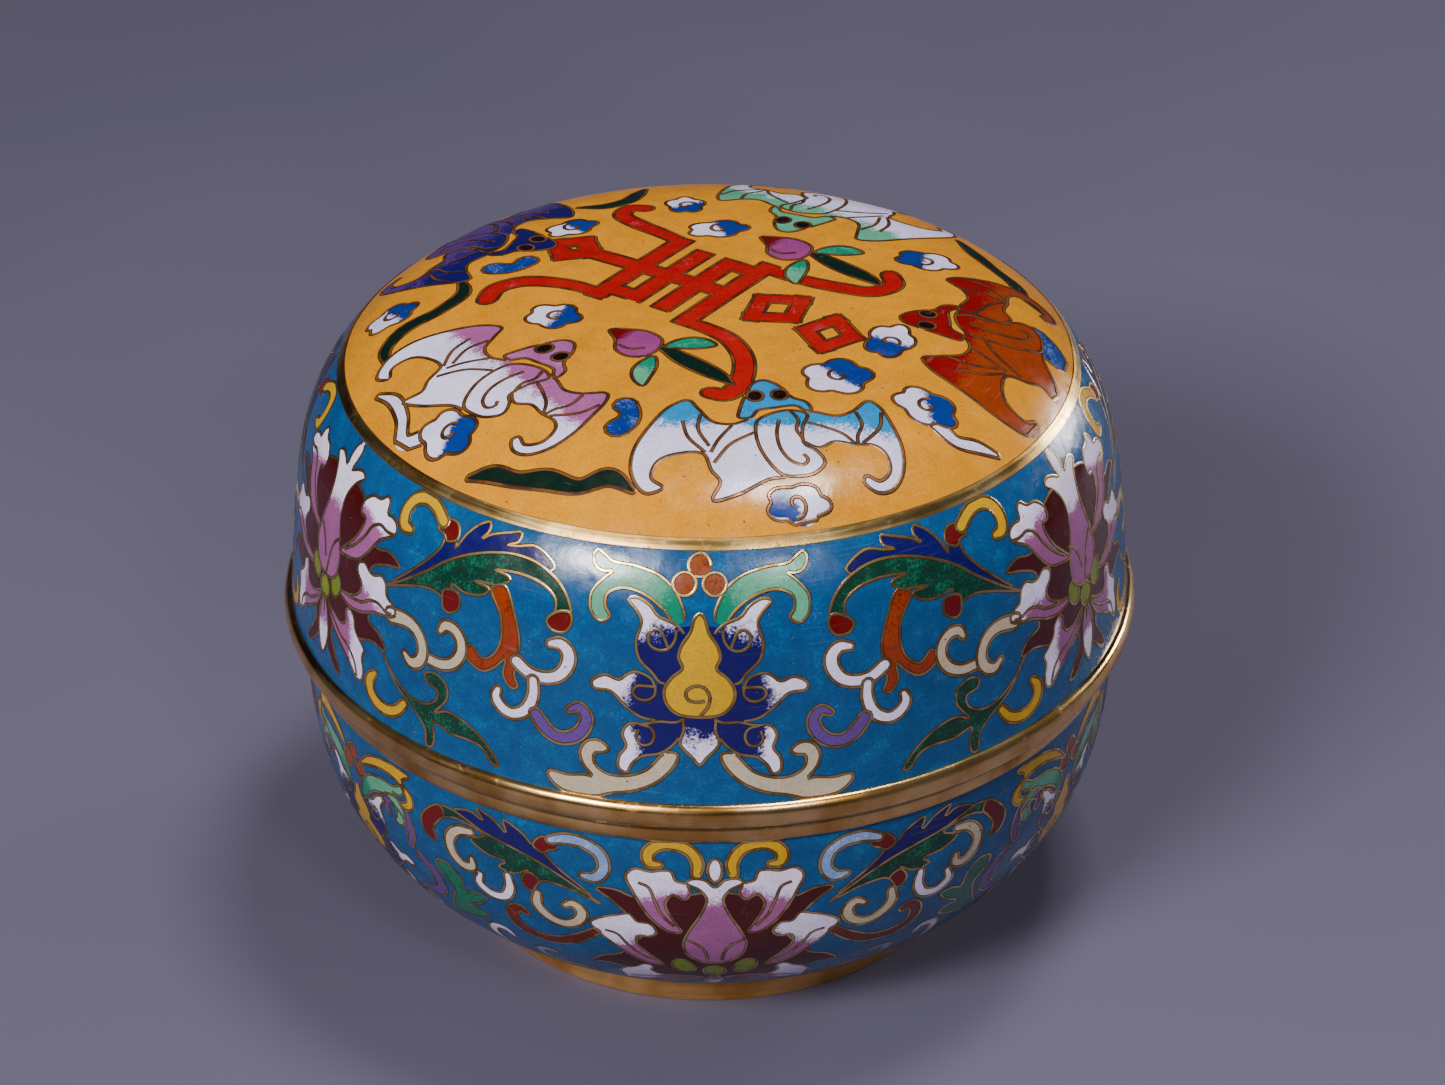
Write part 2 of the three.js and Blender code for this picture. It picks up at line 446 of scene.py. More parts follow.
# Motifs of the side bands. x is measured from the motif's own axis, y up from the band's lower edge.
def gourd_motif():
    d = Drawing()
    white_up = ((5.0, 22.5), (7.0, 28.0))
    d.cell(both_sides([(0, 26.0), (2.8, 25.6), (4.2, 22.0), (5.2, 18.4), (5.6, 15.0), (4.4, 12.4),
        (2.4, 11.4), (0, 11.0)]), COBALT, COBALT_MID, wired=False)
    for side in (1, -1):
        m = Drawing()
        m.cell([(2.0, 26.8), (2.9, 29.9), (5.2, 32.3), (9.0, 33.5), (12.2, 33.8), (13.5, 34.6),
            (14.6, 35.1), (15.0, 34.2), (14.2, 32.7), (12.9, 32.4), (11.9, 32.6), (13.3, 31.3),
            (14.6, 29.4), (14.4, 27.0), (13.1, 25.8), (11.8, 26.6), (12.5, 27.8), (12.4, 29.5),
            (10.4, 30.5), (7.6, 30.0), (5.0, 28.3), (3.0, 26.2)], MINT, MINT_DEEP,
            fade=((9.0, 31.0), (3.0, 26.0)), mottle=0.5)
        m.cell([(4.2, 7.9), (2.7, 7.7), (3.0, 6.2), (5.0, 3.6), (7.8, 1.9), (11.2, 1.0), (13.4, 0.2),
            (17.8, 0.5), (19.6, 2.3), (19.3, 3.0), (17.0, 2.9), (14.6, 3.3), (13.6, 3.2), (14.9, 4.9),
            (15.3, 6.8), (14.3, 8.5), (12.8, 8.8), (11.5, 7.7), (12.2, 7.0), (13.3, 6.8), (13.3, 5.2),
            (11.8, 4.0), (9.4, 3.9), (6.8, 5.0)], *CREAMS)
        m.cell([(2.0, 25.0), (3.3, 26.3), (5.4, 27.2), (6.6, 28.6), (8.5, 29.5), (9.5, 29.1), (8.3, 27.7),
            (7.6, 26.4), (8.2, 23.6), (7.7, 21.2), (6.0, 19.4), (4.8, 18.0), (2.4, 18.6), (1.4, 22.0)],
            COBALT, WHITE, fade=white_up, mottle=0.8)
        m.cell([(5.5, 17.3), (6.2, 18.6), (8.2, 19.4), (9.4, 18.8), (10.3, 18.0), (12.1, 18.5),
            (13.9, 17.3), (13.6, 16.4), (11.4, 16.2), (9.4, 14.3), (7.4, 12.9), (4.6, 12.5), (2.0, 12.6),
            (3.0, 15.4)], COBALT, WHITE, fade=((7.4, 16.4), (10.8, 17.2)), mottle=0.8)
        m.cell([(1.6, 13.0), (2.1, 11.2), (3.3, 9.1), (5.0, 7.7), (7.2, 7.1), (8.5, 5.8), (9.2, 4.4),
            (10.2, 4.9), (10.2, 6.8), (9.3, 8.4), (9.8, 10.2), (9.0, 11.7), (7.0, 11.9), (5.0, 12.4),
            (3.0, 12.4)], COBALT, WHITE, fade=((6.6, 9.4), (9.4, 8.6)), mottle=0.8)
        m.wire([(3.0, 25.4), (3.2, 24.0), (4.1, 22.8), (5.3, 22.6), (6.4, 23.3), (6.6, 24.5), (5.9, 25.4),
            (5.0, 25.2), (4.4, 24.0), (4.0, 22.9)])
        m.wire([(5.6, 17.4), (5.7, 16.2), (6.6, 15.4), (7.8, 15.5), (8.5, 16.4), (8.0, 17.3), (6.8, 17.4),
            (5.7, 17.4)])
        m.wire([(7.6, 11.8), (6.2, 11.4), (5.7, 10.3), (6.2, 9.0), (7.3, 8.8), (8.0, 9.8), (7.7, 11.0)])
        d.add(m.moved(lambda p, s=side: p * (s, 1)))
    d.cell(both_sides([(0, 6.1), (0.9, 7.2), (2.5, 9.3), (2.0, 11.2), (1.9, 13.2), (0, 13.6)]), COBALT,
        WHITE, fade=((0, 12.8), (0, 6.6)), mottle=0.9)
    d.cell(both_sides([(0, 27.7), (0.7, 27.0), (1.2, 25.2), (2.4, 23.2), (2.7, 21.7), (2.2, 20.2),
        (3.5, 18.9), (4.5, 17.1), (4.2, 15.1), (2.8, 13.6), (0, 13.2)]), CURL_YELLOW, CURL_YELLOW_DEEP,
        mottle=0.4)
    d.wire([(0.1, 13.4), (1.0, 14.6), (1.3, 16.2), (0.6, 17.5), (-0.7, 17.7), (-1.7, 16.9), (-1.5, 15.8),
        (-0.4, 15.4), (0.7, 15.6)])
    for x, y in ((0, 34.0), (2.05, 31.5), (-2.05, 31.5)):
        d.cell(ellipse(x, y, 1.6, 1.55), DOT_BRICK, ORANGE_DEEP, mottle=0.9)
    return d


def petal(d, outline, vein, fade):
    """A pink petal that turns white along fade, with one vein."""
    d.cell(outline, PINK, WHITE, fade=fade, mottle=0.75)
    d.wire(vein)


def lid_lotus():
    """The right half's petals are drawn for both sides. x is measured outwards from the lotus axis."""
    d = Drawing()
    d.cell(both_sides([(0, 30.5), (3.0, 31.0), (6.8, 30.0), (9.6, 26.4), (12.4, 25.2), (15.0, 25.7),
        (17.5, 24.6), (14.6, 23.7), (11.8, 22.0), (12.6, 17.0), (12.2, 14.2), (14.6, 13.3), (16.0, 11.4),
        (13.2, 11.5), (10.0, 10.4), (4.0, 9.8), (2.6, 7.4), (3.6, 5.4), (5.5, 2.4), (4.4, 2.3), (2.0, 4.4),
        (0, 6.5)]), *MAROONS)
    for side in (1, -1):
        m = Drawing()
        petal(m, [(15.4, 28.6), (14.9, 29.8), (13.6, 30.3), (12.6, 30.3), (12.2, 31.8), (11.4, 32.4),
            (10.2, 31.5), (8.3, 31.2), (6.8, 29.7), (7.0, 28.1), (8.3, 27.9), (8.2, 26.6), (7.0, 24.3),
            (4.6, 21.9), (3.4, 20.7), (5.8, 20.9), (8.6, 21.8), (10.8, 24.1), (12.4, 26.3)],
            [(15.0, 28.2), (13.6, 28.1), (11.9, 28.4), (10.4, 27.6), (9.2, 25.6), (7.2, 23.4),
            (4.8, 21.6)], ((10.2, 26.8), (11.0, 29.6)))
        petal(m, [(17.7, 17.6), (17.1, 18.7), (15.7, 19.5), (15.2, 21.2), (14.1, 21.9), (12.7, 21.3),
            (11.6, 21.3), (10.2, 22.1), (8.8, 21.4), (8.9, 20.0), (10.0, 18.9), (9.7, 17.4), (7.6, 16.0),
            (4.4, 15.0), (6.8, 14.1), (10.0, 14.5), (13.2, 15.9), (16.6, 16.8)],
            [(17.0, 17.3), (15.6, 17.2), (14.0, 17.7), (12.2, 17.3), (10.4, 16.2), (7.8, 15.6),
            (4.8, 15.3)], ((11.2, 16.6), (12.2, 19.6)))
        petal(m, [(1.3, 11.9), (3.4, 10.9), (5.6, 10.5), (6.6, 11.4), (6.6, 13.0), (7.4, 13.7),
            (8.6, 13.0), (9.1, 11.3), (10.3, 10.2), (11.4, 9.2), (11.0, 7.8), (11.4, 5.8), (11.0, 4.2),
            (10.0, 4.0), (8.0, 5.6), (5.0, 7.4), (2.6, 9.2)], [(9.9, 4.4), (9.2, 6.3), (7.6, 7.7),
            (5.4, 8.5), (3.2, 9.9), (1.6, 11.3)], ((6.4, 9.0), (9.6, 9.2)))
        m.cell(ellipse(3.3, 15.2, 1.4, 2.0, -0.3), *LIMES)
        d.add(m.moved(lambda p, s=side: p * (s, 1)))
    d.cell(ellipse(0, 13.3, 1.6, 1.7), *LIMES)
    petal(d, both_sides([(0, 12.0), (0.9, 10.6), (1.5, 8.3), (1.5, 6.0), (0.8, 3.7), (0, 2.8)]),
        [(0, 11.6), (0, 9.4)], ((0, 9.5), (0, 5.5)))
    petal(d, both_sides([(0, 35.7), (0.9, 35.0), (1.1, 33.4), (0.9, 31.8), (2.2, 32.4), (3.8, 32.8),
        (4.8, 32.2), (3.4, 30.8), (2.3, 28.6), (2.2, 26.0), (3.1, 22.6), (3.8, 19.4), (3.2, 16.7),
        (1.6, 15.4), (0, 15.2)]), [(3.5, 22.3), (2.2, 21.5), (1.2, 19.9), (0.6, 17.8), (0.1, 15.6)],
        ((0, 24.5), (0, 29.5)))
    d.wire([(-3.5, 22.3), (-2.2, 21.5), (-1.2, 19.9), (-0.5, 17.8)])
    return d


def lid_scrolls():
    """Leaves and curls between a gourd and a lotus, measured from the gourd's axis."""
    d = Drawing()
    leaf_back = [(44.0, 22.9), (41.5, 24.7), (39.3, 26.3), (37.3, 28.0), (35.0, 29.5), (32.5, 30.7),
        (29.5, 31.7), (26.5, 32.2), (23.5, 32.0), (21.0, 31.1)]
    d.cell([(46.9, 21.1)] + leaf_back + [(20.2, 31.8), (21.6, 33.1), (23.8, 33.9), (26.4, 33.3),
        (28.0, 33.1), (26.4, 33.9), (26.3, 35.2), (28.0, 34.8), (31.0, 33.7), (32.2, 32.8), (31.4, 34.2),
        (31.7, 35.3), (33.2, 34.6), (34.8, 32.7), (35.9, 30.4), (36.0, 32.4), (37.2, 33.8), (39.0, 33.5),
        (39.8, 32.0), (38.4, 31.6), (38.2, 30.0), (40.2, 27.3), (43.6, 24.0)], *BLUES)
    d.cell([(36.0, 31.6), (36.2, 33.0), (37.2, 33.8), (39.0, 33.5), (39.8, 32.0), (38.4, 31.6),
        (37.7, 30.9), (36.8, 31.1)], *TIP_REDS)
    d.cell([(46.9, 21.1)] + leaf_back + [(19.2, 29.9), (17.6, 27.8), (16.9, 25.0), (17.8, 23.5),
        (19.6, 23.5), (20.4, 24.7), (19.4, 25.8), (19.4, 27.6), (21.4, 29.2), (25.0, 29.9), (28.9, 29.5),
        (26.8, 29.2), (26.3, 28.7), (28.4, 27.7), (31.7, 27.2), (29.2, 26.8), (30.0, 25.8), (33.0, 25.2),
        (35.3, 25.7), (35.0, 25.0), (33.6, 24.4), (33.6, 22.7), (35.2, 21.6), (36.1, 22.0), (36.7, 23.4),
        (38.8, 23.8), (42.0, 23.0)], *GREENS)
    d.cell([(17.2, 26.2), (16.9, 25.0), (17.8, 23.5), (19.6, 23.5), (20.4, 24.7), (19.4, 25.8),
        (18.2, 26.3)], *TIP_REDS)
    d.cell([(33.8, 24.6), (33.5, 23.6), (33.6, 22.7), (35.2, 21.6), (36.1, 22.0), (36.4, 23.2),
        (36.4, 24.4), (35.2, 24.9)], *TIP_REDS)
    d.cell([(27.0, 27.8), (25.0, 24.4), (24.0, 21.0), (24.2, 17.9), (24.5, 15.8), (24.0, 14.3),
        (24.8, 13.8), (26.1, 15.4), (25.9, 17.8), (27.4, 16.2), (29.2, 15.1), (31.4, 15.9), (32.0, 17.4),
        (31.0, 18.3), (30.2, 17.5), (29.2, 16.9), (27.6, 18.1), (26.7, 20.4), (27.0, 23.6), (28.9, 27.0)],
        *ORANGES)
    d.stroke([(24.2, 17.9, 1.9), (22.3, 16.7, 1.8), (20.3, 16.5, 1.8), (18.4, 17.2, 1.8),
        (17.2, 18.9, 1.9), (17.1, 20.7, 1.9), (18.2, 21.8, 1.7), (19.6, 21.6, 1.2)], *WHITES)
    d.stroke([(21.8, 15.8, 1.5), (21.7, 14.0, 1.6), (22.2, 12.1, 1.7), (23.3, 10.7, 1.7),
        (24.9, 10.1, 1.7), (26.4, 10.8, 1.7), (27.1, 12.1, 1.5), (26.8, 13.1, 1.1)], *WHITES)
    d.stroke([(21.3, 10.9, 1.9), (20.0, 9.2, 2.0), (18.2, 8.2, 1.9), (16.2, 8.7, 1.9), (14.8, 10.3, 1.8),
        (14.5, 12.0, 1.7), (15.5, 13.2, 1.5), (16.7, 12.6, 1.0)], *PURPLES)
    d.stroke([(38.3, 13.7, 1.7), (35.8, 13.7, 1.7), (33.8, 14.7, 1.7), (32.7, 16.5, 1.7),
        (32.8, 18.3, 1.7), (34.0, 19.6, 1.7), (35.5, 19.6, 1.6), (36.2, 18.6, 1.1)], *CREAMS)
    d.stroke([(45.4, 17.2, 2.3), (42.5, 17.7, 2.1), (40.6, 17.2, 1.9), (39.4, 15.8, 1.8),
        (39.1, 14.0, 1.8), (39.8, 12.5, 1.8), (41.2, 11.9, 1.7), (42.3, 12.7, 1.1)], *CREAMS)
    d.stroke([(39.2, 33.1, 1.8), (41.3, 34.4, 1.7), (43.5, 34.9, 1.8), (45.6, 34.1, 1.9),
        (46.4, 32.2, 1.9), (45.8, 30.3, 1.9), (44.4, 30.1, 1.2)], *YELLOWS)
    d.stroke([(42.2, 5.0, 1.4), (43.5, 3.4, 1.6), (45.4, 2.5, 1.8), (47.4, 2.6, 1.9), (49.0, 3.8, 1.9),
        (49.2, 5.6, 1.8), (48.2, 6.9, 1.1)], *YELLOWS)
    d.cell([(26.5, 1.6), (27.3, 1.5), (29.0, 3.5), (31.0, 4.0), (34.0, 3.9), (37.0, 4.5), (36.6, 2.4),
        (37.0, 0.6), (37.9, 0.6), (38.2, 2.8), (39.8, 4.7), (42.6, 6.5), (44.2, 7.8), (46.9, 11.3),
        (44.2, 8.4), (41.4, 6.8), (38.6, 6.6), (36.5, 8.0), (36.3, 9.6), (38.2, 10.2), (38.4, 11.4),
        (36.8, 12.0), (34.9, 11.0), (34.7, 8.9), (36.7, 6.0), (34.6, 7.0), (31.6, 6.4), (28.4, 4.3)],
        *GREENS)
    return d


# Turns a drawing of flat cells into a coloured mesh on a surface
def paint(drawing, frame_ring, grid, ground):
    """Cuts the framed area into triangles along every cell's edge. Returns places, triangles and paint."""
    places, faces = [], []
    for ring in [frame_ring] + [c[0] for c in drawing.cells]:
        faces.append(list(range(len(places), len(places) + len(ring))))
        ring = np.asarray(ring)[:, :2]
        area = np.sum(ring[:, 0] * np.roll(ring[:, 1], -1) - ring[:, 1] * np.roll(ring[:, 0], -1))
        places += [Vector(p) for p in (ring if area > 0 else ring[::-1])]
    places += [Vector(p) for p in grid]
    made = delaunay_2d_cdt(places, [], faces, 0, 1e-4)
    flat = np.array([tuple(v) for v in made[0]])
    triangles, tops = [], []
    for face, owners in zip(made[2], made[5]):
        if 0 in owners and len(face) == 3:
            triangles.append(tuple(face))
            tops.append(max(owners))
    triangles = np.array(triangles)
    tops = np.array(tops)
    used, back = np.unique(triangles, return_inverse=True)
    flat, triangles = flat[used], back.reshape(triangles.shape)
    paints = [(ground[0], ground[1], None, ground[2])] + [c[1:] for c in drawing.cells]
    first = np.array([p[0] for p in paints])[tops]
    second = np.array([p[1] for p in paints])[tops]
    mottle = np.array([p[3] for p in paints])[tops]
    blend = np.zeros(triangles.shape)
    for index, (_, _, fade, *_) in enumerate(paints):
        mine = tops == index
        if fade is None or not mine.any():
            continue
        start, end = np.array(fade[0]), np.array(fade[1])
        line = end - start
        share = (flat[triangles[mine]] - start) @ line / (line @ line)
        blend[mine] = np.clip(share, -0.2, 1.2)
    plain = np.array([p[2] is None for p in paints])[tops]
    blend[plain] = PLAIN_BLEND
    return flat, triangles, first, second, blend, mottle


def shown(name, mesh, material):
    """The object of a mesh, with its material."""
    mesh.materials.append(material)
    piece = bpy.data.objects.new(name, mesh)
    bpy.context.collection.objects.link(piece)
    return piece


class Skin:
    """Gathers coloured patches of one shell and makes one mesh of them."""

    def __init__(self):
        self.points, self.triangles, self.normals = [], [], []
        self.first, self.second, self.blend, self.mottle = [], [], [], []
        self.count = 0

    def add(self, points, normals, triangles, first, second, blend, mottle, flip=False):
        triangles = np.asarray(triangles)
        blend = np.asarray(blend)
        if flip:
            triangles, blend = triangles[:, ::-1], blend[:, ::-1]
        self.points.append(points)
        self.normals.append(normals)
        self.triangles.append(triangles + self.count)
        self.first.append(first)
        self.second.append(second)
        self.blend.append(blend)
        self.mottle.append(mottle)
        self.count += len(points)

    def add_plain(self, profile, first, second, mottle):
        """A turned surface in one pair of colours, with the surface's outside on the profile's right."""
        points, normals, triangles = turned_surface(profile)
        count = len(triangles)
        self.add(points, normals, triangles, np.tile(first, (count, 1)), np.tile(second, (count, 1)),
            np.full((count, 3), TURNED_BLEND), np.full(count, mottle))

    def make(self, name, material):
        points = np.vstack(self.points)
        triangles = np.vstack(self.triangles)
        normals = np.vstack(self.normals)
        mesh = bpy.data.meshes.new(name)
        key = np.round(points / WELD).astype(np.int64)
        _, first_at, weld = np.unique(key, axis=0, return_index=True, return_inverse=True)
        weld = weld.reshape(-1)
        tri = weld[triangles]
        keep = (tri[:, 0] != tri[:, 1]) & (tri[:, 1] != tri[:, 2]) & (tri[:, 2] != tri[:, 0])
        tri = tri[keep]
        corner_normals = normals[triangles[keep]].reshape(-1, 3)
        mesh.vertices.add(len(first_at))
        mesh.vertices.foreach_set("co", (points[first_at] * MM).ravel())
        mesh.loops.add(tri.size)
        mesh.loops.foreach_set("vertex_index", tri.ravel().astype(np.int32))
        mesh.polygons.add(len(tri))
        mesh.polygons.foreach_set("loop_start", np.arange(0, tri.size, 3, dtype=np.int32))
        mesh.polygons.foreach_set("use_smooth", np.ones(len(tri), bool))
        mesh.update(calc_edges=True)
        for label, values in (("paint", self.first), ("paint_other", self.second)):
            colours = np.repeat(np.vstack(values)[keep], 3, axis=0)
            layer = mesh.attributes.new(label, "FLOAT_COLOR", "CORNER")
            layer.data.foreach_set("color",
                np.column_stack([colours, np.ones(len(colours))]).astype(np.float32).ravel())
        layer = mesh.attributes.new("blend", "FLOAT", "CORNER")
        layer.data.foreach_set("value", np.vstack(self.blend)[keep].astype(np.float32).ravel())
        layer = mesh.attributes.new("mottle", "FLOAT", "CORNER")
        layer.data.foreach_set("value", np.repeat(np.concatenate(self.mottle)[keep], 3).astype(np.float32))
        mesh.validate()
        mesh.normals_split_custom_set(corner_normals.tolist())
        return shown(name, mesh, material)


def turned_surface(profile):
    """Points, normals and triangles of a profile turned round the upright axis."""
    profile = np.asarray(profile, float)
    slope = np.gradient(profile, axis=0)
    slope /= np.maximum(np.linalg.norm(slope, axis=1), 1e-9)[:, None]
    angle = np.arange(SEGMENTS) * TAU / SEGMENTS
    sine, cosine = np.sin(angle), -np.cos(angle)
    radius, height = profile[:, 0][:, None], profile[:, 1][:, None]
    points = np.stack([radius * sine, radius * cosine, height + 0 * sine], axis=2).reshape(-1, 3)
    out, up = slope[:, 1][:, None], -slope[:, 0][:, None]
    normals = np.stack([out * sine, out * cosine, up + 0 * sine], axis=2).reshape(-1, 3)
    rows, columns = np.meshgrid(np.arange(len(profile) - 1), np.arange(SEGMENTS), indexing="ij")
    beside = (columns + 1) % SEGMENTS
    a, b = rows * SEGMENTS + columns, rows * SEGMENTS + beside
    c, d = a + SEGMENTS, b + SEGMENTS
    triangles = np.vstack([np.stack([a, b, d], axis=2).reshape(-1, 3),
        np.stack([a, d, c], axis=2).reshape(-1, 3)])
    return points, normals, triangles


# The bowl's band. x is measured from the lotus axis.
def bowl_lotus():
    d = Drawing()
    d.cell(both_sides([(0, 39.0), (3.0, 38.4), (7.4, 37.8), (10.3, 37.3), (13.0, 38.3), (15.5, 38.1),
        (13.4, 36.3), (11.2, 33.6), (9.6, 30.6), (11.4, 27.4), (13.4, 24.6), (16.0, 23.2), (18.1, 20.6),
        (15.6, 20.9), (12.0, 19.8), (9.4, 19.0), (6.0, 17.6), (0, 16.6)]), *MAROONS)
    for side in (1, -1):
        m = Drawing()
        m.stroke([(2.4, 41.8, 1.3), (2.2, 43.4, 1.6), (3.1, 45.3, 1.6), (5.0, 46.3, 1.7), (7.2, 46.1, 1.7),
            (8.6, 44.7, 1.7), (8.3, 43.2, 1.5), (7.1, 43.1, 1.0)], *YELLOWS)
        petal(m, [(3.1, 38.6), (3.8, 40.2), (5.0, 40.6), (5.6, 42.1), (7.0, 42.2), (8.2, 41.9),
            (10.3, 42.2), (11.5, 40.9), (10.6, 38.2), (9.4, 35.4), (7.8, 32.8), (5.8, 31.1), (4.4, 31.2),
            (5.4, 33.6), (6.4, 36.6), (5.4, 38.2), (4.0, 37.4)], [(9.9, 39.9), (8.6, 39.3), (7.8, 37.0),
            (7.0, 34.6), (5.4, 32.4)], ((6.8, 36.0), (8.2, 39.6)))
        petal(m, [(7.7, 30.8), (8.6, 32.6), (10.2, 32.8), (11.2, 34.2), (12.7, 33.8), (14.9, 32.9),
            (16.8, 31.3), (16.0, 29.8), (14.0, 27.2), (11.4, 24.3), (8.9, 22.4), (7.2, 22.5), (8.6, 24.9),
            (10.6, 28.2), (10.2, 29.9), (8.8, 29.8)], [(14.8, 30.2), (13.2, 29.7), (12.0, 27.6),
            (10.0, 24.8), (7.4, 23.1)], ((10.6, 26.6), (12.8, 30.6)))
        petal(m, [(1.5, 17.4), (4.4, 18.3), (8.0, 18.2), (9.3, 19.6), (8.9, 21.3), (10.0, 22.1),
            (11.6, 20.7), (13.6, 19.3), (14.5, 17.5), (14.3, 15.4), (14.6, 13.0), (12.8, 13.4),
            (10.0, 14.2), (6.4, 15.2), (3.2, 16.4)], [(13.2, 15.0), (10.4, 16.2), (7.0, 16.9),
            (3.0, 17.2)], ((7.0, 16.8), (10.6, 18.0)))
        m.cell(ellipse(4.4, 22.2, 1.6, 2.4, -0.35), *LIMES)
        d.add(m.moved(lambda p, s=side: p * (s, 1)))
    d.cell(ellipse(0, 20.6, 1.7, 1.9), *LIMES)
    petal(d, both_sides([(0, 18.8), (1.0, 17.4), (1.4, 15.0), (0.8, 12.6), (0, 11.8)]),
        [(0, 18.4), (0, 16.0)], ((0, 17.0), (0, 13.6)))
    petal(d, both_sides([(0, 39.6), (1.2, 40.8), (3.0, 41.0), (3.7, 40.3), (2.0, 39.2), (1.1, 37.6),
        (1.9, 34.8), (3.4, 31.6), (4.3, 28.6), (3.6, 25.6), (1.8, 23.8), (0, 23.4)]),
        [(3.9, 29.6), (2.3, 28.4), (1.3, 26.6), (1.0, 24.4)], ((0, 34.5), (0, 39.8)))
    d.wire([(-3.9, 29.6), (-2.3, 28.4), (-1.3, 26.6), (-1.0, 24.4)])
    d.cell(ellipse(0, 42.4, 0.95, 1.9), WHITE, PINK_PALE, mottle=0.4)
    return d


def bowl_scrolls():
    d = Drawing()
    leaf_back = [(15.0, 35.3), (17.4, 37.1), (20.2, 38.9), (23.4, 40.5), (27.0, 41.6), (31.4, 42.6),
        (36.2, 44.1)]
    d.cell([(15.0, 35.3), (17.6, 37.9), (20.4, 40.1), (22.3, 42.3), (20.9, 43.3), (21.2, 44.6),
        (22.8, 44.7), (24.0, 43.0), (25.4, 44.3), (28.3, 45.6), (27.9, 43.7), (29.8, 45.1), (32.4, 46.0),
        (31.4, 44.4), (33.4, 45.1), (36.2, 44.1)] + leaf_back[-2:0:-1], *BLUES)
    d.cell([(20.6, 43.4), (21.2, 44.6), (22.8, 44.7), (24.0, 43.0), (22.6, 42.2), (21.8, 42.8)], *TIP_REDS)
    d.cell(leaf_back + [(38.6, 43.9), (40.8, 42.4), (42.1, 40.2), (41.3, 37.9), (39.4, 37.6), (39.9, 39.4),
        (38.6, 41.6), (35.8, 43.0), (31.2, 42.0), (33.5, 40.6), (31.2, 39.2), (28.2, 38.8), (29.4, 37.7),
        (27.0, 37.3), (24.8, 38.6), (26.0, 36.4), (24.8, 35.0), (23.8, 36.4), (22.8, 37.4), (19.0, 37.0)],
        *GREENS)
    d.cell([(38.6, 43.9), (40.8, 42.4), (42.1, 40.2), (41.3, 37.9), (39.4, 37.6), (39.9, 39.4),
        (38.6, 41.6), (37.8, 42.6)], *TIP_REDS)
    d.cell([(24.9, 38.2), (26.0, 36.4), (24.8, 35.0), (23.8, 36.4), (23.4, 37.3)], *TIP_REDS)
    d.stroke([(21.6, 44.5, 1.3), (19.4, 45.2, 1.7), (16.8, 45.0, 1.7), (14.8, 43.6, 1.7),
        (14.4, 41.4, 1.7), (15.6, 39.8, 1.7), (17.2, 39.8, 1.1)], *PALE_BLUES)
    d.stroke([(23.9, 34.8, 1.3), (24.1, 32.6, 1.7), (22.6, 30.5, 1.7), (20.4, 29.9, 1.7),
        (18.4, 31.2, 1.7), (17.8, 33.2, 1.7), (18.9, 34.4, 1.5), (20.0, 33.8, 1.0)], *CREAMS)
    d.stroke([(28.1, 36.5, 1.2), (28.0, 34.3, 1.6), (29.1, 32.2, 1.6), (31.2, 31.7, 1.6),
        (33.0, 33.1, 1.5), (32.5, 34.9, 1.0)], *WHITES)
    d.stroke([(33.5, 41.7, 1.3), (35.6, 41.1, 1.6), (37.1, 39.2, 1.7), (36.9, 36.9, 1.7),
        (35.3, 35.3, 1.6), (33.7, 35.8, 1.5), (33.7, 37.1, 1.0)], *CREAMS)
    d.stroke([(16.2, 29.5, 1.3), (19.0, 27.0, 1.8), (22.4, 25.1, 1.9), (25.8, 25.0, 1.9),
        (28.2, 26.7, 1.9), (28.5, 29.3, 1.8), (27.2, 30.7, 1.5), (26.2, 30.1, 1.0)], ORANGE_DEEP, ORANGE,
        mottle=0.9)
    d.stroke([(34.2, 16.4, 1.3), (34.6, 20.4, 1.6), (33.4, 22.8, 1.6), (31.4, 23.1, 1.4),
        (30.6, 21.6, 1.0)], *WHITES)
    d.stroke([(18.4, 14.0, 1.0), (21.0, 15.6, 1.5), (24.6, 15.6, 1.6), (27.2, 17.4, 1.6),
        (26.4, 20.0, 1.5), (24.2, 20.1, 1.1)], *PALE_BLUES)
    d.cell([(40.2, 32.0), (40.4, 33.6), (38.4, 34.2), (36.4, 32.5), (35.9, 29.9), (34.4, 30.5),
        (32.4, 30.3), (33.4, 28.7), (36.2, 26.5), (34.1, 26.2), (33.5, 25.2), (36.4, 23.3), (41.3, 22.0),
        (39.7, 25.6), (38.4, 29.4)], LEAF_PALE, LEAF, mottle=0.9)
    d.stroke([(45.2, 33.9, 1.2), (44.7, 36.2, 1.6), (45.6, 39.0, 1.7), (47.6, 40.0, 1.7),
        (49.6, 39.0, 1.6), (49.1, 37.3, 1.1)], *PURPLES)
    d.stroke([(45.2, 24.8, 1.5), (43.0, 25.4, 2.0), (41.3, 27.4, 2.0), (41.5, 30.0, 2.0),
        (43.9, 32.6, 1.3)], *PURPLES)
    d.cell([(55.6, 41.7), (53.6, 44.1), (50.4, 45.5), (46.6, 46.0), (44.1, 45.6), (45.7, 44.3),
        (43.7, 42.6), (43.6, 40.8), (44.8, 39.9), (46.4, 40.4), (44.9, 41.4), (46.2, 43.5), (49.6, 43.9),
        (53.2, 42.8)], *YELLOWS)
    return d


# The medallion, seen from above. y runs away from the front.
FRET_WIDTH = 3.0
LOZENGE_WIDTH = 2.5


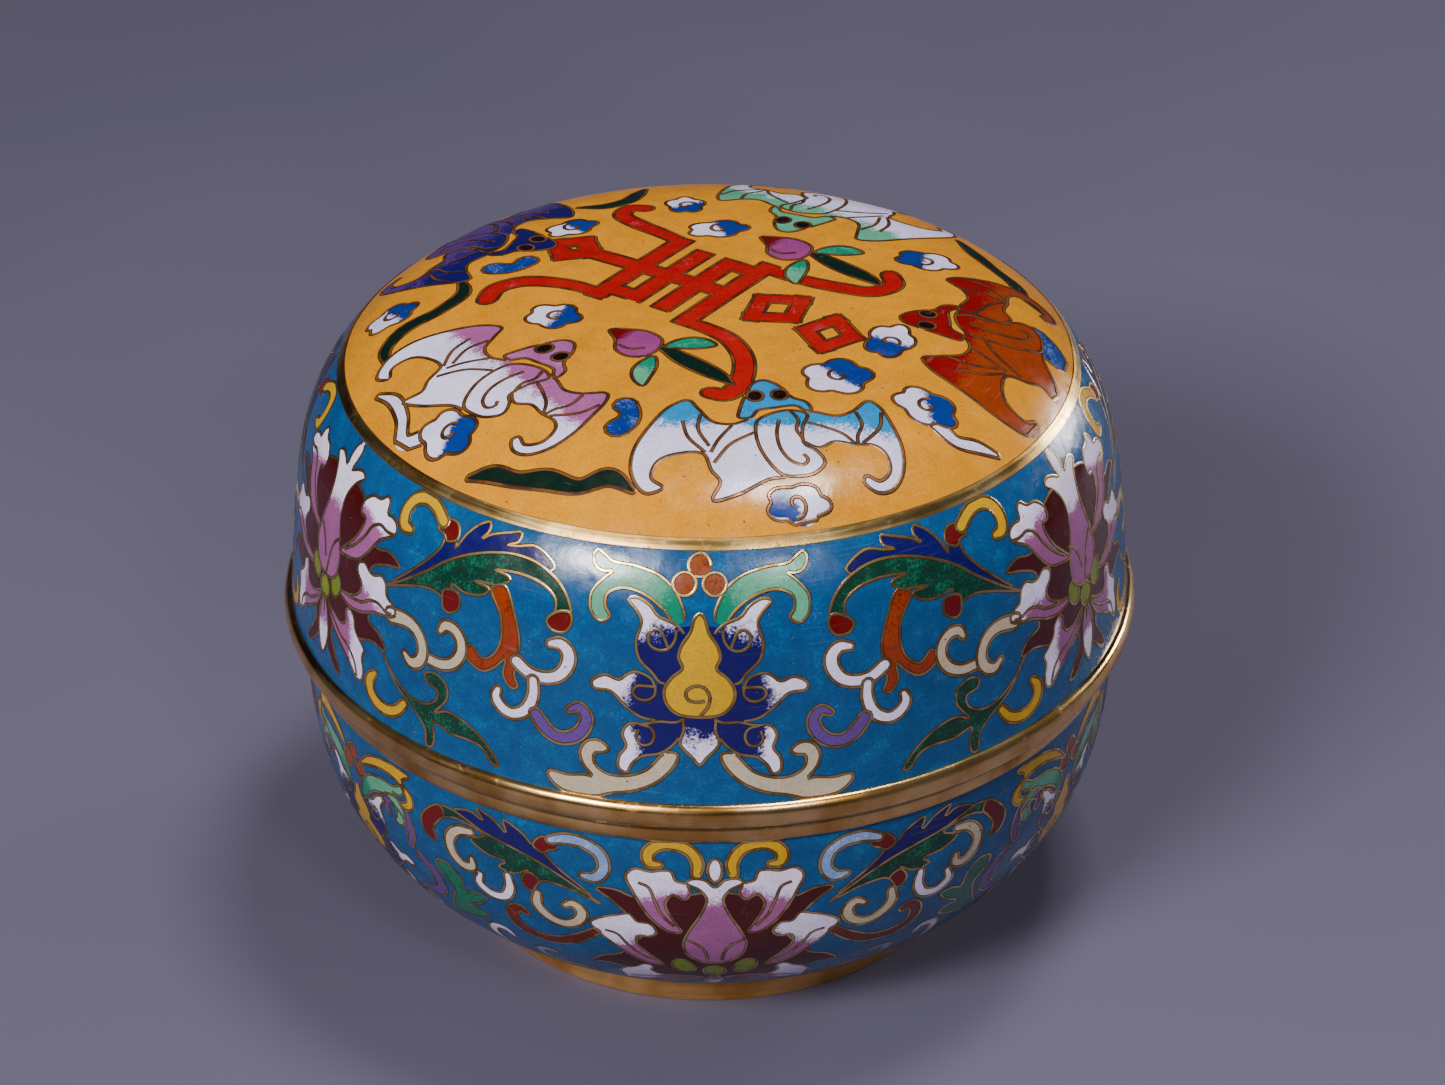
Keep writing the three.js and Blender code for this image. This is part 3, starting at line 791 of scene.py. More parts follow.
def bat(colour, pale, middle, turn, white_from, white_to):
    d = Drawing()
    fade = ((0, white_from), (0, white_to))
    d.cell([(-11.6, -0.4), (-13.9, -1.8), (-16.5, -6.0), (-18.6, -11.0), (-18.6, -14.6), (-16.9, -17.0),
        (-14.7, -16.4), (-16.2, -15.0), (-15.4, -12.5), (-12.8, -11.3), (-9.7, -11.4), (-8.6, -14.2),
        (-7.5, -15.8), (-8.5, -18.2), (-5.2, -17.4), (-1.4, -15.2), (1.2, -14.3), (-1.0, -10.0),
        (-2.5, -4.4), (-6.0, -5.8), (-8.4, -5.3), (-10.3, -2.4)], colour, pale, fade=fade, mottle=0.9)
    d.cell([(11.6, 0.4), (12.9, -0.6), (14.4, -3.8), (15.7, -8.0), (15.6, -11.4), (14.2, -13.9),
        (12.2, -14.7), (10.6, -13.8), (10.9, -12.9), (12.6, -13.2), (14.0, -11.4), (13.4, -9.0),
        (12.0, -8.1), (9.6, -8.4), (7.0, -8.3), (5.0, -9.6), (2.5, -8.0), (1.5, -4.0), (4.0, -2.7),
        (7.4, -3.3), (9.4, -2.2)], colour, pale, fade=fade, mottle=0.9)
    d.cell([(-2.5, -4.6), (-3.0, -7.0), (-2.2, -11.0), (0.2, -14.3), (2.4, -14.4), (4.4, -13.7),
        (5.7, -11.9), (4.6, -10.1), (3.2, -9.2), (3.0, -6.0), (3.6, -3.2), (1.0, -2.6)], colour, pale,
        fade=fade, mottle=0.9)
    for line in (
            [(0, -4.7), (-0.3, -7.6), (0.2, -10.4), (1.5, -12.2), (3.0, -12.6), (3.6, -11.7), (3.0, -10.9)],
            [(1.5, -2.6), (2.5, -4.7), (2.2, -6.5), (3.1, -8.4)],
            [(-12.3, -5.0), (-11.6, -8.3), (-9.4, -11.2)], [(-10.0, -3.6), (-10.3, -6.8), (-8.9, -10.1)],
            [(-6.0, -6.0), (-7.8, -9.0), (-8.7, -11.2)], [(-3.2, -7.4), (-6.2, -9.7), (-8.3, -13.0)],
            [(3.6, -5.0), (6.1, -5.8), (8.2, -6.8), (9.6, -8.2)],
            [(9.9, -2.2), (10.6, -4.7), (10.0, -6.8), (10.0, -8.2)],
            [(13.2, -1.8), (12.9, -4.7), (11.6, -6.8), (10.6, -8.0)]):
        d.wire(line)
    d.cell([(-1.8, 4.4), (-3.1, 3.8), (-4.1, 1.2), (-5.0, -2.6), (-5.1, -4.4), (-3.6, -4.3), (-2.6, -2.7),
        (-0.6, -2.1), (2.2, -1.5), (3.4, -2.4), (4.2, -2.4), (3.6, -0.6), (1.8, 0.4), (0.8, 2.2),
        (-0.6, 3.8)], colour, middle, mottle=0.6)
    for x, y in ((-3.0, 0.6), (0.2, 1.0)):
        d.cell(ellipse(x, y, 1.05, 1.25), BLACK, COPPER_RED, mottle=0.1)
    return d.moved(lambda p: turned(p, turn))


def cloud(x, y, length, width, lie, blue_towards, tail=None):
    """A small cloud of five round lobes, white on one side and blue on the other, with a curl of wire."""
    d = Drawing()
    if tail:
        d.stroke(tail, LILAC_WHITE, PALE_BLUE, mottle=0.5)
    angle = np.linspace(0, TAU, 30, endpoint=False)
    lobes = 0.80 + 0.24 * np.abs(np.cos(2.5 * angle + 0.4))
    shape = np.stack([length * lobes * np.cos(angle), width * lobes * np.sin(angle)], axis=1)
    towards = np.array([math.cos(math.radians(blue_towards)), math.sin(math.radians(blue_towards))])
    middle = np.array([x, y])
    fade = (tuple(middle - 1.1 * towards), tuple(middle + 1.3 * towards))
    d.cell(turned(shape, lie) + middle, LILAC_WHITE, ROYAL, fade=fade, mottle=0.8)
    turns = np.linspace(0, 1, 9)
    coil = np.stack([np.cos(1.2 + 5.2 * turns), np.sin(1.2 + 5.2 * turns)],
        axis=1) * (1.6 - 1.2 * turns)[:, None]
    d.wire(turned(coil, blue_towards) + middle + 0.3 * towards, 0.35)
    return d


def peach():
    d = Drawing()
    d.stroke([(-5.6, -14.9, 1.6), (-3.6, -17.2, 2.6), (-0.8, -19.9, 2.8), (1.6, -22.2, 1.9),
        (2.9, -23.8, 0.5)], PINE, LEAF, mottle=0.5)
    d.cell([(-7.2, -16.6), (-6.8, -19.0), (-7.6, -22.0), (-8.6, -24.2), (-9.9, -22.4), (-10.0, -20.0),
        (-8.8, -17.8)], MINT_DEEP, MINT, fade=((-7.2, -17.0), (-9.6, -22.5)), mottle=0.8)
    d.cell([(-5.9, -14.2), (-4.1, -12.4), (-1.8, -11.8), (0.3, -12.7), (1.0, -14.0), (-1.4, -14.8),
        (-4.1, -14.7)], MINT_DEEP, MINT, mottle=0.8)
    d.cell([(-13.2, -9.3), (-10.8, -9.3), (-8.0, -10.1), (-6.2, -12.2), (-6.6, -14.8), (-8.4, -16.6),
        (-10.6, -16.6), (-12.3, -14.8), (-12.4, -12.2)], PLUM, TIP_RED,
        fade=((-9.8, -12.4), (-12.4, -10.2)), mottle=0.4)
    d.wire([(-12.0, -13.4), (-10.4, -14.6), (-8.4, -14.4)])
    return d


def fret():
    """A key-fret of red bars with four curled arms."""
    d = Drawing()
    long_bar, inner_bar, spread, inner_spread = 9.4, 7.4, 7.2, 2.4
    middle, lean = np.array([-3.5, 4.8]), -35

    def bar(a, b):
        ends = turned([a, b], lean) + middle
        d.bar(ends[0], ends[1], FRET_WIDTH, *FRET_REDS, "fret")

    for side in (1, -1):
        bar((side * spread, -long_bar), (side * spread, long_bar))
        bar((side * inner_spread, -inner_bar), (side * inner_spread, inner_bar))
        bar((side * inner_spread, side * inner_bar), (side * spread, side * inner_bar))
    bar((-15.5, 0), (spread, 0))
    tip = np.array([(-15.5, 0), (-18.6, 2.7), (-21.7, 0), (-18.6, -2.7)])
    for a, b in zip(tip, np.roll(tip, -1, axis=0)):
        bar(a, b)
    arms = [
        [(-14.5, 0.8, 2.3), (-17.2, 3.0, 2.5), (-21.0, 4.8, 2.7), (-25.5, 5.5, 2.9), (-29.0, 3.9, 3.0),
        (-30.1, 0.8, 2.8)],
        [(-4.3, 17.4, 2.3), (-6.8, 20.0, 2.5), (-10.0, 23.2, 2.7), (-12.2, 26.6, 2.6), (-11.2, 29.2, 2.5),
        (-8.9, 29.0, 2.4)],
        [(-2.6, -7.6, 2.3), (0.0, -9.6, 2.5), (2.6, -12.2, 2.7), (4.5, -17.3, 2.8), (4.1, -23.2, 2.9),
        (2.2, -26.5, 2.8), (0.2, -26.0, 2.6)],
        [(7.5, 8.6, 2.3), (9.6, 6.9, 2.5), (12.6, 5.0, 2.6), (17.3, 3.0, 2.8), (22.3, 1.9, 2.8),
        (25.2, 4.2, 2.8), (24.9, 7.2, 2.6)]]
    for arm in arms:
        d.stroke(arm, *FRET_REDS, "fret")
    return d


def lozenge(x, y, size, turn):
    """A small red lozenge ring."""
    d = Drawing()
    corners = turned([(-size, 0), (0, -0.8 * size), (size, 0), (0, 0.8 * size)], turn) + (x, y)
    for a, b in zip(corners, np.roll(corners, -1, axis=0)):
        d.bar(a, b, LOZENGE_WIDTH, *FRET_REDS, f"lozenge {x}")
    return d


def medallion():
    d = Drawing()
    for points in (
            [(-30.6, -36.9, 0.6), (-27.6, -37.6, 2.0), (-24.3, -39.4, 1.8), (-20.6, -40.4, 2.6),
            (-16.4, -42.2, 1.8), (-12.6, -41.6, 2.4), (-9.6, -43.8, 0.6)],
            [(-34.2, 8.4, 0.6), (-33.5, 3.6, 2.0), (-36.6, -0.8, 2.0), (-41.2, -3.8, 2.4),
            (-43.3, -7.2, 1.8), (-43.0, -10.8, 0.6)],
            [(35.4, 24.0, 0.6), (37.3, 19.3, 2.2), (40.0, 14.6, 1.8), (42.6, 11.0, 2.3), (43.4, 7.7, 1.8),
            (46.1, 5.0, 0.6)],
            [(-18.6, 30.8, 0.6), (-14.8, 30.6, 2.0), (-11.6, 32.6, 2.2), (-10.2, 35.6, 2.0),
            (-9.2, 39.0, 0.6)]):
        d.stroke(points, PINE, LEAF, mottle=0.4)
    for spot in ((-20.8, -5.0, 3.8, 3.4, -10, -20), (-19.3, 22.7, 3.9, 2.6, 30, 40),
            (-3.3, 30.2, 3.2, 2.8, 100, -60), (1.3, 21.2, 4.4, 2.8, 12, 20),
            (30.2, 12.8, 4.4, 3.0, -8, 175), (24.0, -11.7, 4.6, 3.2, 70, -115),
            (16.7, -21.5, 4.7, 4.2, 20, 45), (11.1, -45.2, 4.1, 2.4, 10, 205),
            (-43.2, 1.7, 3.7, 3.0, 30, 30)):
        d.add(cloud(*spot))
    d.add(cloud(28.0, -26.6, 4.4, 3.4, -30, 10, [(28.6, -29.0, 2.4), (31.6, -31.6, 1.8),
        (34.6, -31.2, 1.7), (37.0, -31.0, 0.7)]))
    d.add(cloud(-33.6, -29.2, 4.2, 3.4, -50, -20, [(-36.0, -28.4, 2.4), (-39.6, -27.4, 1.8),
        (-40.0, -23.4, 1.6), (-41.4, -19.4, 1.6), (-43.6, -17.0, 0.7)]))
    for x, y, turn in ((-27.2, 10.6, 15), (-10.6, -31.1, 75), (46.1, -4.7, 110)):
        shape = np.array([(-2.4, 0.4, 3.4), (-0.8, -0.4, 3.0), (0.9, -0.3, 2.6), (2.4, 0.8, 3.2)])
        shape[:, :2] = turned(shape[:, :2], turn) + (x, y)
        d.stroke(shape, ROYAL, PALE_BLUE, mottle=0.7)
    d.add(fret())
    d.add(lozenge(9.2, -3.6, 4.2, 35))
    d.add(lozenge(16.0, -10.4, 4.0, 75))
    d.add(peach())
    d.add(peach().moved(lambda p: p + (20.5, 27.8)))
    for x, y, turn, colours, span in (
            (8.9, -27.3, 0, (SKY, LILAC_WHITE, TURQUOISE_PALE), (-3.0, -8.5)),
            (-20.4, -16.6, -53.4, (PINK, LILAC_WHITE, PINK_PALE), (-4.0, -9.0)),
            (30.4, -4.2, 76.7, (RED_DEEP, RUST, RED), (-3.0, -9.0)),
            (11.25, 25.2, 143, (MINT, LILAC_WHITE, MINT_DEEP), (-3.0, -9.0)),
            (-26.2, 17.25, -126.4, (COBALT, PURPLE_DEEP, COBALT), (-2.0, -12.0))):
        d.add(bat(*colours, turn, *span).moved(lambda p, x=x, y=y: p + (x, y)))
    return d


# Meshes of wires: low ribs with a flat gold top and darker sides, sunk a little into the enamel. The darker
# sides stand for oxide and painted shade beside the wire
def wire_piece(name, runs, surface, material, half):
    # The last number marks the side vertices, which the material darkens with oxide and painted shade beside
    # the wire
    section = ((-half, WIRE_FOOT, 1), (-WIRE_FLAT, WIRE_PROUD, 0), (WIRE_FLAT, WIRE_PROUD, 0),
        (half, WIRE_FOOT, 1), (0, -WIRE_SUNK, 1))
    points, triangles, shade = [], [], []
    count = 0
    for run in runs:
        along = np.gradient(run, axis=0)
        along /= np.maximum(np.linalg.norm(along, axis=1), 1e-9)[:, None]
        side = np.stack([-along[:, 1], along[:, 0]], axis=1)
        rows = []
        for offset, out, dark in section:
            rows.append(surface.place(run + side * offset, out)[0])
            shade.append(np.full(len(run), float(dark)))
        size = len(run)
        points += rows
        i = np.arange(size - 1)
        for k in range(5):
            a, b = count + k * size + i, count + ((k + 1) % 5) * size + i
            triangles += [np.stack([a, b, b + 1], axis=1), np.stack([a, b + 1, a + 1], axis=1)]
        for end, flip in ((0, 1), (size - 1, -1)):
            ring = [count + k * size + end for k in range(5)]
            triangles.append(np.array([[ring[0], ring[k + 1], ring[k]] for k in range(1, 4)])[:, ::flip])
        count += 5 * size
    vertices = np.vstack(points)
    mesh = bpy.data.meshes.new(name)
    faces = np.vstack(triangles)
    mesh.from_pydata((vertices * MM).tolist(), [], faces.tolist())
    layer = mesh.attributes.new("oxide_and_shade_flank", "FLOAT", "POINT")
    layer.data.foreach_set("value", np.concatenate(shade).astype(np.float32))
    return shown(name, mesh, material)


def plain_piece(name, profile, material):
    """A smooth turned piece from its closed section."""
    points, _, triangles = turned_surface(profile)
    mesh = bpy.data.meshes.new(name)
    mesh.from_pydata((points * MM).tolist(), [], triangles.tolist())
    mesh.polygons.foreach_set("use_smooth", np.ones(len(mesh.polygons), bool))
    mesh.update()
    mesh.set_sharp_from_angle(angle=math.radians(40))
    return shown(name, mesh, material)


# Materials
class Nodes:
    """Short ways to lay out a node material."""

    def __init__(self, name):
        self.material = bpy.data.materials.new(name)
        self.material.use_nodes = True
        self.tree = self.material.node_tree
        self.shader = self.tree.nodes["Principled BSDF"]
        self.coordinates = self.add("ShaderNodeTexCoord").outputs["Object"]

    def add(self, kind, **settings):
        node = self.tree.nodes.new(kind)
        for key, value in settings.items():
            setattr(node, key, value)
        return node

    def link(self, value, socket):
        if isinstance(value, bpy.types.NodeSocket):
            self.tree.links.new(value, socket)
        else:
            socket.default_value = value

    def attribute(self, name, output="Fac"):
        return self.add("ShaderNodeAttribute", attribute_name=name).outputs[output]

    def noise(self, size, detail=2.0, rough=0.5, place=None):
        """Noise whose grains are about so many millimetres across."""
        node = self.add("ShaderNodeTexNoise")
        self.link(place or self.coordinates, node.inputs["Vector"])
        node.inputs["Scale"].default_value = 1 / (size * MM)
        node.inputs["Detail"].default_value = detail
        node.inputs["Roughness"].default_value = rough
        return node.outputs["Fac"]

    def stretch(self, scale):
        node = self.add("ShaderNodeVectorMath", operation="MULTIPLY")
        self.link(self.coordinates, node.inputs[0])
        node.inputs[1].default_value = scale
        return node.outputs["Vector"]

    def math(self, operation, a, b=0.0, c=0.0):
        node = self.add("ShaderNodeMath", operation=operation)
        for value, socket in zip((a, b, c), node.inputs):
            self.link(value, socket)
        return node.outputs[0]

    def ramp(self, value, low, high, to_low=0.0, to_high=1.0):
        node = self.add("ShaderNodeMapRange", interpolation_type="SMOOTHSTEP")
        for item, socket in zip((value, low, high, to_low, to_high), node.inputs):
            self.link(item, socket)
        return node.outputs["Result"]

    def mix(self, share, a, b):
        node = self.add("ShaderNodeMix", data_type="RGBA", blend_type="MIX")
        self.link(share, node.inputs["Factor"])
        for item, socket in ((a, node.inputs[6]), (b, node.inputs[7])):
            self.link(item if isinstance(item, bpy.types.NodeSocket) else (*item, 1.0), socket)
        return node.outputs[2]

    def bump(self, height, distance, normal=None):
        node = self.add("ShaderNodeBump")
        node.inputs["Strength"].default_value = 1.0
        node.inputs["Distance"].default_value = distance
        self.link(height, node.inputs["Height"])
        if normal:
            self.link(normal, node.inputs["Normal"])
        return node.outputs["Normal"]


def enamel(name):
    n = Nodes(name)
    grain = n.noise(0.36, 3.0, 0.65)
    patch = n.noise(2.4, 2.0, 0.5)
    cloud_noise = n.noise(9.0, 3.0, 0.55)
    wander = n.math("ADD", n.math("MULTIPLY_ADD", grain, 1.3, -0.65),
        n.math("MULTIPLY_ADD", patch, 0.9, -0.45))
    share = n.math("MULTIPLY_ADD", wander, n.attribute("mottle"), n.attribute("blend"))
    colour = n.mix(n.ramp(share, 0.3, 0.7), n.attribute("paint", "Color"),
        n.attribute("paint_other", "Color"))
    # Thick and thin places, ground grains and small burst bubbles
    tone = n.math("MULTIPLY_ADD", cloud_noise, 0.4, 0.80)
    tone = n.math("MULTIPLY_ADD", n.noise(0.35, 2.0, 0.6), 0.7, n.math("SUBTRACT", tone, 0.36))
    tone = n.math("MULTIPLY_ADD", patch, 0.3, n.math("SUBTRACT", tone, 0.15))
    value = n.add("ShaderNodeHueSaturation")
    n.link(tone, value.inputs["Value"])
    n.link(colour, value.inputs["Color"])
    pits = n.add("ShaderNodeTexVoronoi", feature="F1")
    n.link(n.coordinates, pits.inputs["Vector"])
    pits.inputs["Scale"].default_value = 1 / (1.5 * MM)
    pits.inputs["Randomness"].default_value = 1.0
    chosen = n.add("ShaderNodeSeparateColor")
    n.link(pits.outputs["Color"], chosen.inputs["Color"])
    rare = n.ramp(chosen.outputs["Red"], 0.80, 0.84)
    pit = n.math("MULTIPLY", n.ramp(pits.outputs["Distance"], 0.13, 0.05), rare)
    pitted = n.mix(n.math("MULTIPLY", pit, 0.75), value.outputs["Color"], (0.03, 0.016, 0.012))
    worn = n.math("MULTIPLY", n.ramp(n.noise(5.0, 4.0, 0.7), 0.62, 0.72), n.ramp(grain, 0.5, 0.62))
    aged = n.mix(n.math("MULTIPLY", worn, 0.10), pitted, (0.5, 0.5, 0.52))
    rubbed = n.ramp(n.noise(1.1, 3.0, 0.6, n.stretch((0.10, 0.10, 4.0))), 0.60, 0.70)
    scratches = n.math("MULTIPLY", rubbed, n.ramp(n.noise(7.0, 2.0, 0.5), 0.50, 0.62))
    final = n.mix(n.math("MULTIPLY", scratches, 0.035), aged, (0.62, 0.64, 0.68))
    n.link(final, n.shader.inputs["Base Color"])
    rough = n.ramp(n.noise(4.0, 4.0, 0.6), 0.35, 0.7, 0.18, 0.32)
    rough = n.math("MULTIPLY_ADD", scratches, 0.12, rough)
    n.link(n.math("MULTIPLY_ADD", worn, 0.3, rough), n.shader.inputs["Roughness"])
    uneven = n.bump(n.noise(6.0, 2.0, 0.5), 0.00016)
    uneven = n.bump(n.noise(0.9, 2.0, 0.6), 0.00002, uneven)
    n.link(n.bump(n.math("MULTIPLY", pit, -1.0), 0.00008, uneven), n.shader.inputs["Normal"])
    n.shader.inputs["IOR"].default_value = 1.5
    n.shader.inputs["Coat Weight"].default_value = 0.05
    n.shader.inputs["Coat Roughness"].default_value = 0.08
    return n.material


def brass(name, bright, dull, dark, rough_low, rough_high, tarnish):
    """Polished and worn brass, with fine scratches that run round the box."""
    n = Nodes(name)
    lines = n.noise(2.4, 4.0, 0.6, n.stretch((0.12, 0.12, 5.0)))
    cloud_noise = n.noise(9.0, 3.0, 0.55)
    spots = n.noise(0.8, 3.0, 0.6)
    colour = n.mix(n.ramp(cloud_noise, 0.36, 0.7), bright, dull)
    stain = n.math("MULTIPLY", n.ramp(n.noise(4.0, 4.0, 0.65), 0.52, 0.7), n.ramp(spots, 0.45, 0.62))
    colour = n.mix(n.math("MULTIPLY", stain, tarnish), colour, dark)
    colour = n.mix(n.ramp(lines, 0.6, 0.75, 0.0, 0.3), colour, dark)
    n.link(colour, n.shader.inputs["Base Color"])
    n.shader.inputs["Metallic"].default_value = 1.0
    rough = n.ramp(lines, 0.3, 0.7, rough_low, rough_high)
    n.link(n.math("MULTIPLY_ADD", stain, 0.2, rough), n.shader.inputs["Roughness"])
    dents = n.bump(n.noise(7.0, 2.0, 0.5), 0.00012)
    n.link(n.bump(lines, 0.000012, dents), n.shader.inputs["Normal"])
    return n.material


def wire_brass(name, bright, dull, oxide_and_shade_flank, metal):
    n = Nodes(name)
    patch = n.noise(3.0, 3.0, 0.6)
    top = n.mix(n.ramp(patch, 0.4, 0.62), bright, dull)
    # The sides of each wire are darkened towards the side colour: oxide and painted shade beside the wire
    edge = n.attribute("oxide_and_shade_flank")
    colour = n.mix(n.ramp(edge, 0.08, 0.5), top, oxide_and_shade_flank)
    n.link(colour, n.shader.inputs["Base Color"])
    n.link(n.ramp(edge, 0.0, 0.8, metal, 0.3 * metal), n.shader.inputs["Metallic"])
    n.link(n.ramp(patch, 0.3, 0.7, 0.22, 0.42), n.shader.inputs["Roughness"])
    return n.material


def floor_material():
    n = Nodes("floor_grey")
    tone = n.noise(180.0, 2.0, 0.5)
    n.link(n.mix(n.ramp(tone, 0.3, 0.7), (0.094, 0.085, 0.132), (0.103, 0.093, 0.142)),
        n.shader.inputs["Base Color"])
    n.link(n.ramp(n.noise(60.0, 3.0, 0.5), 0.3, 0.7, 0.6, 0.7), n.shader.inputs["Roughness"])
    n.shader.inputs["Specular IOR Level"].default_value = 0.2
    return n.material


BOWL_ENAMEL = enamel("bowl_enamel_paint")
LID_ENAMEL = enamel("lid_enamel_paint")
RIM_BRASS = brass("rim_brass", srgb("fed28a"), srgb("d49c50"), srgb("5e3a1c"), 0.14, 0.30, 0.3)
BAND_BRASS = brass("band_brass", srgb("f4d088"), srgb("bd8f4a"), srgb("4c2e18"), 0.20, 0.38, 0.5)
FOOT_BRASS = brass("foot_brass", srgb("fecb82"), srgb("de9f50"), srgb("7a4a24"), 0.44, 0.6, 0.25)
# The third colour of each wire brass is its side colour, oxide and painted shade beside the wire
WIRE_BRASS = wire_brass("wire_brass", srgb("eccc8c"), srgb("aa8248"), srgb("2a1408"), 1.0)
TOP_WIRE_BRASS = wire_brass("top_wire_brass", srgb("8a5a30"), srgb("4e2e18"), srgb("1c0c06"), 0.5)


# Shells
def mesh_grid(low_x, high_x, low_y, high_y):
    xs = np.arange(low_x + GRID_PITCH / 2, high_x, GRID_PITCH)
    ys = np.arange(low_y + GRID_PITCH / 2, high_y, GRID_PITCH)
    gx, gy = np.meshgrid(xs, ys)
    gx[1::2] += GRID_PITCH / 2
    return np.stack([gx.ravel(), gy.ravel()], axis=1)


def side_frame(band, columns):
    """The outline of half a repeat, cut across as finely as the shell is, and places inside it."""
    xs = np.linspace(0, band.half_repeat, columns + 1)
    rows = int(round(band.length / GRID_PITCH))
    ys = np.linspace(0, band.length, rows + 1)
    ring = ([(x, 0) for x in xs] + [(xs[-1], y) for y in ys[1:]] + [(x, ys[-1]) for x in xs[-2::-1]]
        + [(0, y) for y in ys[-2:0:-1]])
    return np.array(ring), mesh_grid(0.6, band.half_repeat - 0.9, 0.6, band.length - 0.5)


def repeated(drawing, band, ground, skin):
    """Lays half a repeat on the band, and its mirror image, all the way round."""
    ring, grid = side_frame(band, SEGMENTS // 6)
    flat, triangles, first, second, blend, mottle = paint(drawing, ring, grid, ground)
    for sixth in range(6):
        mirrored = sixth % 2 == 1
        x = (sixth + 1) * band.half_repeat - flat[:, 0] if mirrored else sixth * band.half_repeat + flat[:, 0]
        points, normals = band.place(np.column_stack([x, flat[:, 1]]))
        skin.add(points, normals, triangles, first, second, blend, mottle, flip=mirrored)


def round_wires(parts, band):
    """Wires on the band. Each part is a drawing, its axis in half repeats, and whether it is mirrored."""
    runs = []
    for drawing, axis, both in parts:
        for run in drawing.bare_wires():
            run = run[(run[:, 1] > BAND_MARGIN) & (run[:, 1] < band.length - BAND_MARGIN)]
            if len(run) < 4:
                continue
            for third in range(3):
                for sign in ((1, -1) if both else (1,)):
                    x = (axis + 2 * third) * band.half_repeat + sign * run[:, 0]
                    runs.append(np.column_stack([x, run[:, 1]]))
    return runs


LID_HALF_REPEAT = 62.2
LID_PATTERN_SCALE = 0.965
BOWL_HALF_REPEAT = 57.3
SMALL_GOURD = 0.8
SMALL_GOURD_RISE = 15.5

lid_side = lid_side_profile()
bowl_side = bowl_side_profile()
lid_band = Band(lid_side, LID_HALF_REPEAT, math.radians(-1.3), math.radians(1.7))
bowl_band = Band(bowl_side, BOWL_HALF_REPEAT, math.radians(0.6), math.radians(-1.6))


def level_disc(radius, height):
    """The profile of a level disc, from the axis outwards."""
    return np.linspace(0, 1, DISC_ROWS)[:, None] * np.array([[radius, 0]]) + (0, height)


def lid_place(drawing):
    return drawing.moved(lambda p: p * (1, LID_PATTERN_SCALE))


gourds = lid_place(gourd_motif())
scrolls = lid_place(lid_scrolls())
lotus = lid_place(lid_lotus())
lid_drawing = Drawing()
lid_drawing.add(scrolls)
lid_drawing.add(gourds)
lid_drawing.add(lotus.moved(lambda p: (LID_HALF_REPEAT, 0) - p * (1, -1)))

lid_skin = Skin()
repeated(lid_drawing, lid_band, BAND_GROUND, lid_skin)
top_drawing = medallion()
crown = Crown()
turn = np.arange(SEGMENTS) * TAU / SEGMENTS
rim_ring = np.stack([np.sin(turn), -np.cos(turn)], axis=1) * MEDALLION_RADIUS
disc_grid = mesh_grid(-MEDALLION_RADIUS, MEDALLION_RADIUS, -MEDALLION_RADIUS, MEDALLION_RADIUS)
disc_grid = disc_grid[np.linalg.norm(disc_grid, axis=1) < MEDALLION_RADIUS - 0.6]
flat, triangles, first, second, blend, mottle = paint(top_drawing, rim_ring, disc_grid, TOP_GROUND)
points, normals = crown.place(flat)
lid_skin.add(points, normals, triangles, first, second, blend, mottle)

crown_in = np.linspace(0, MEDALLION_RADIUS, CROWN_ROWS)
crown_profile = np.stack([crown_in, crown_height(crown_in)], axis=1)[::-1]
lid_inside = inset(np.vstack([lid_side[::INSIDE_STRIDE], crown_profile[1:]]), WALL)
lid_inside[0] = (LID_INSIDE, LID_BOTTOM)
lid_inside[-1] = (0, CROWN_TOP - WALL)
lid_skin.add_plain(lid_inside[::-1], *COUNTER_GROUND)
lid_skin.add_plain([lid_inside[0], (LID_INSIDE + WALL / 2, LID_BOTTOM), lid_side[0]], *EDGE_GROUND)
lid = lid_skin.make("lid_shell", LID_ENAMEL)

bowl_drawing = Drawing()
bowl_scroll_cells = bowl_scrolls()
bowl_lotus_cells = bowl_lotus()
bowl_gourd_cells = gourd_motif().moved(lambda p: p * SMALL_GOURD + (0, SMALL_GOURD_RISE))
bowl_drawing.add(bowl_scroll_cells)
bowl_drawing.add(bowl_lotus_cells)
bowl_drawing.add(bowl_gourd_cells.moved(lambda p: (BOWL_HALF_REPEAT, 0) - p * (1, -1)))
bowl_skin = Skin()
repeated(bowl_drawing, bowl_band, BAND_GROUND, bowl_skin)
bowl_inside = inset(bowl_side[::INSIDE_STRIDE], WALL)
bowl_inside[0] = (bowl_inside[0, 0], BOWL_BOTTOM + WALL)
bowl_inside[-1] = (BOWL_MOUTH - WALL, BOWL_TOP)
floor_in = level_disc(bowl_inside[0, 0], BOWL_BOTTOM + WALL)
bowl_skin.add_plain(np.vstack([bowl_inside[::-1], floor_in[-2::-1]]), *COUNTER_GROUND)
bowl_skin.add_plain([bowl_side[-1], bowl_inside[-1]], *EDGE_GROUND)
bowl_skin.add_plain(level_disc(FOOT_RADIUS, BOWL_BOTTOM), *COUNTER_GROUND)
bowl = bowl_skin.make("bowl_shell", BOWL_ENAMEL)

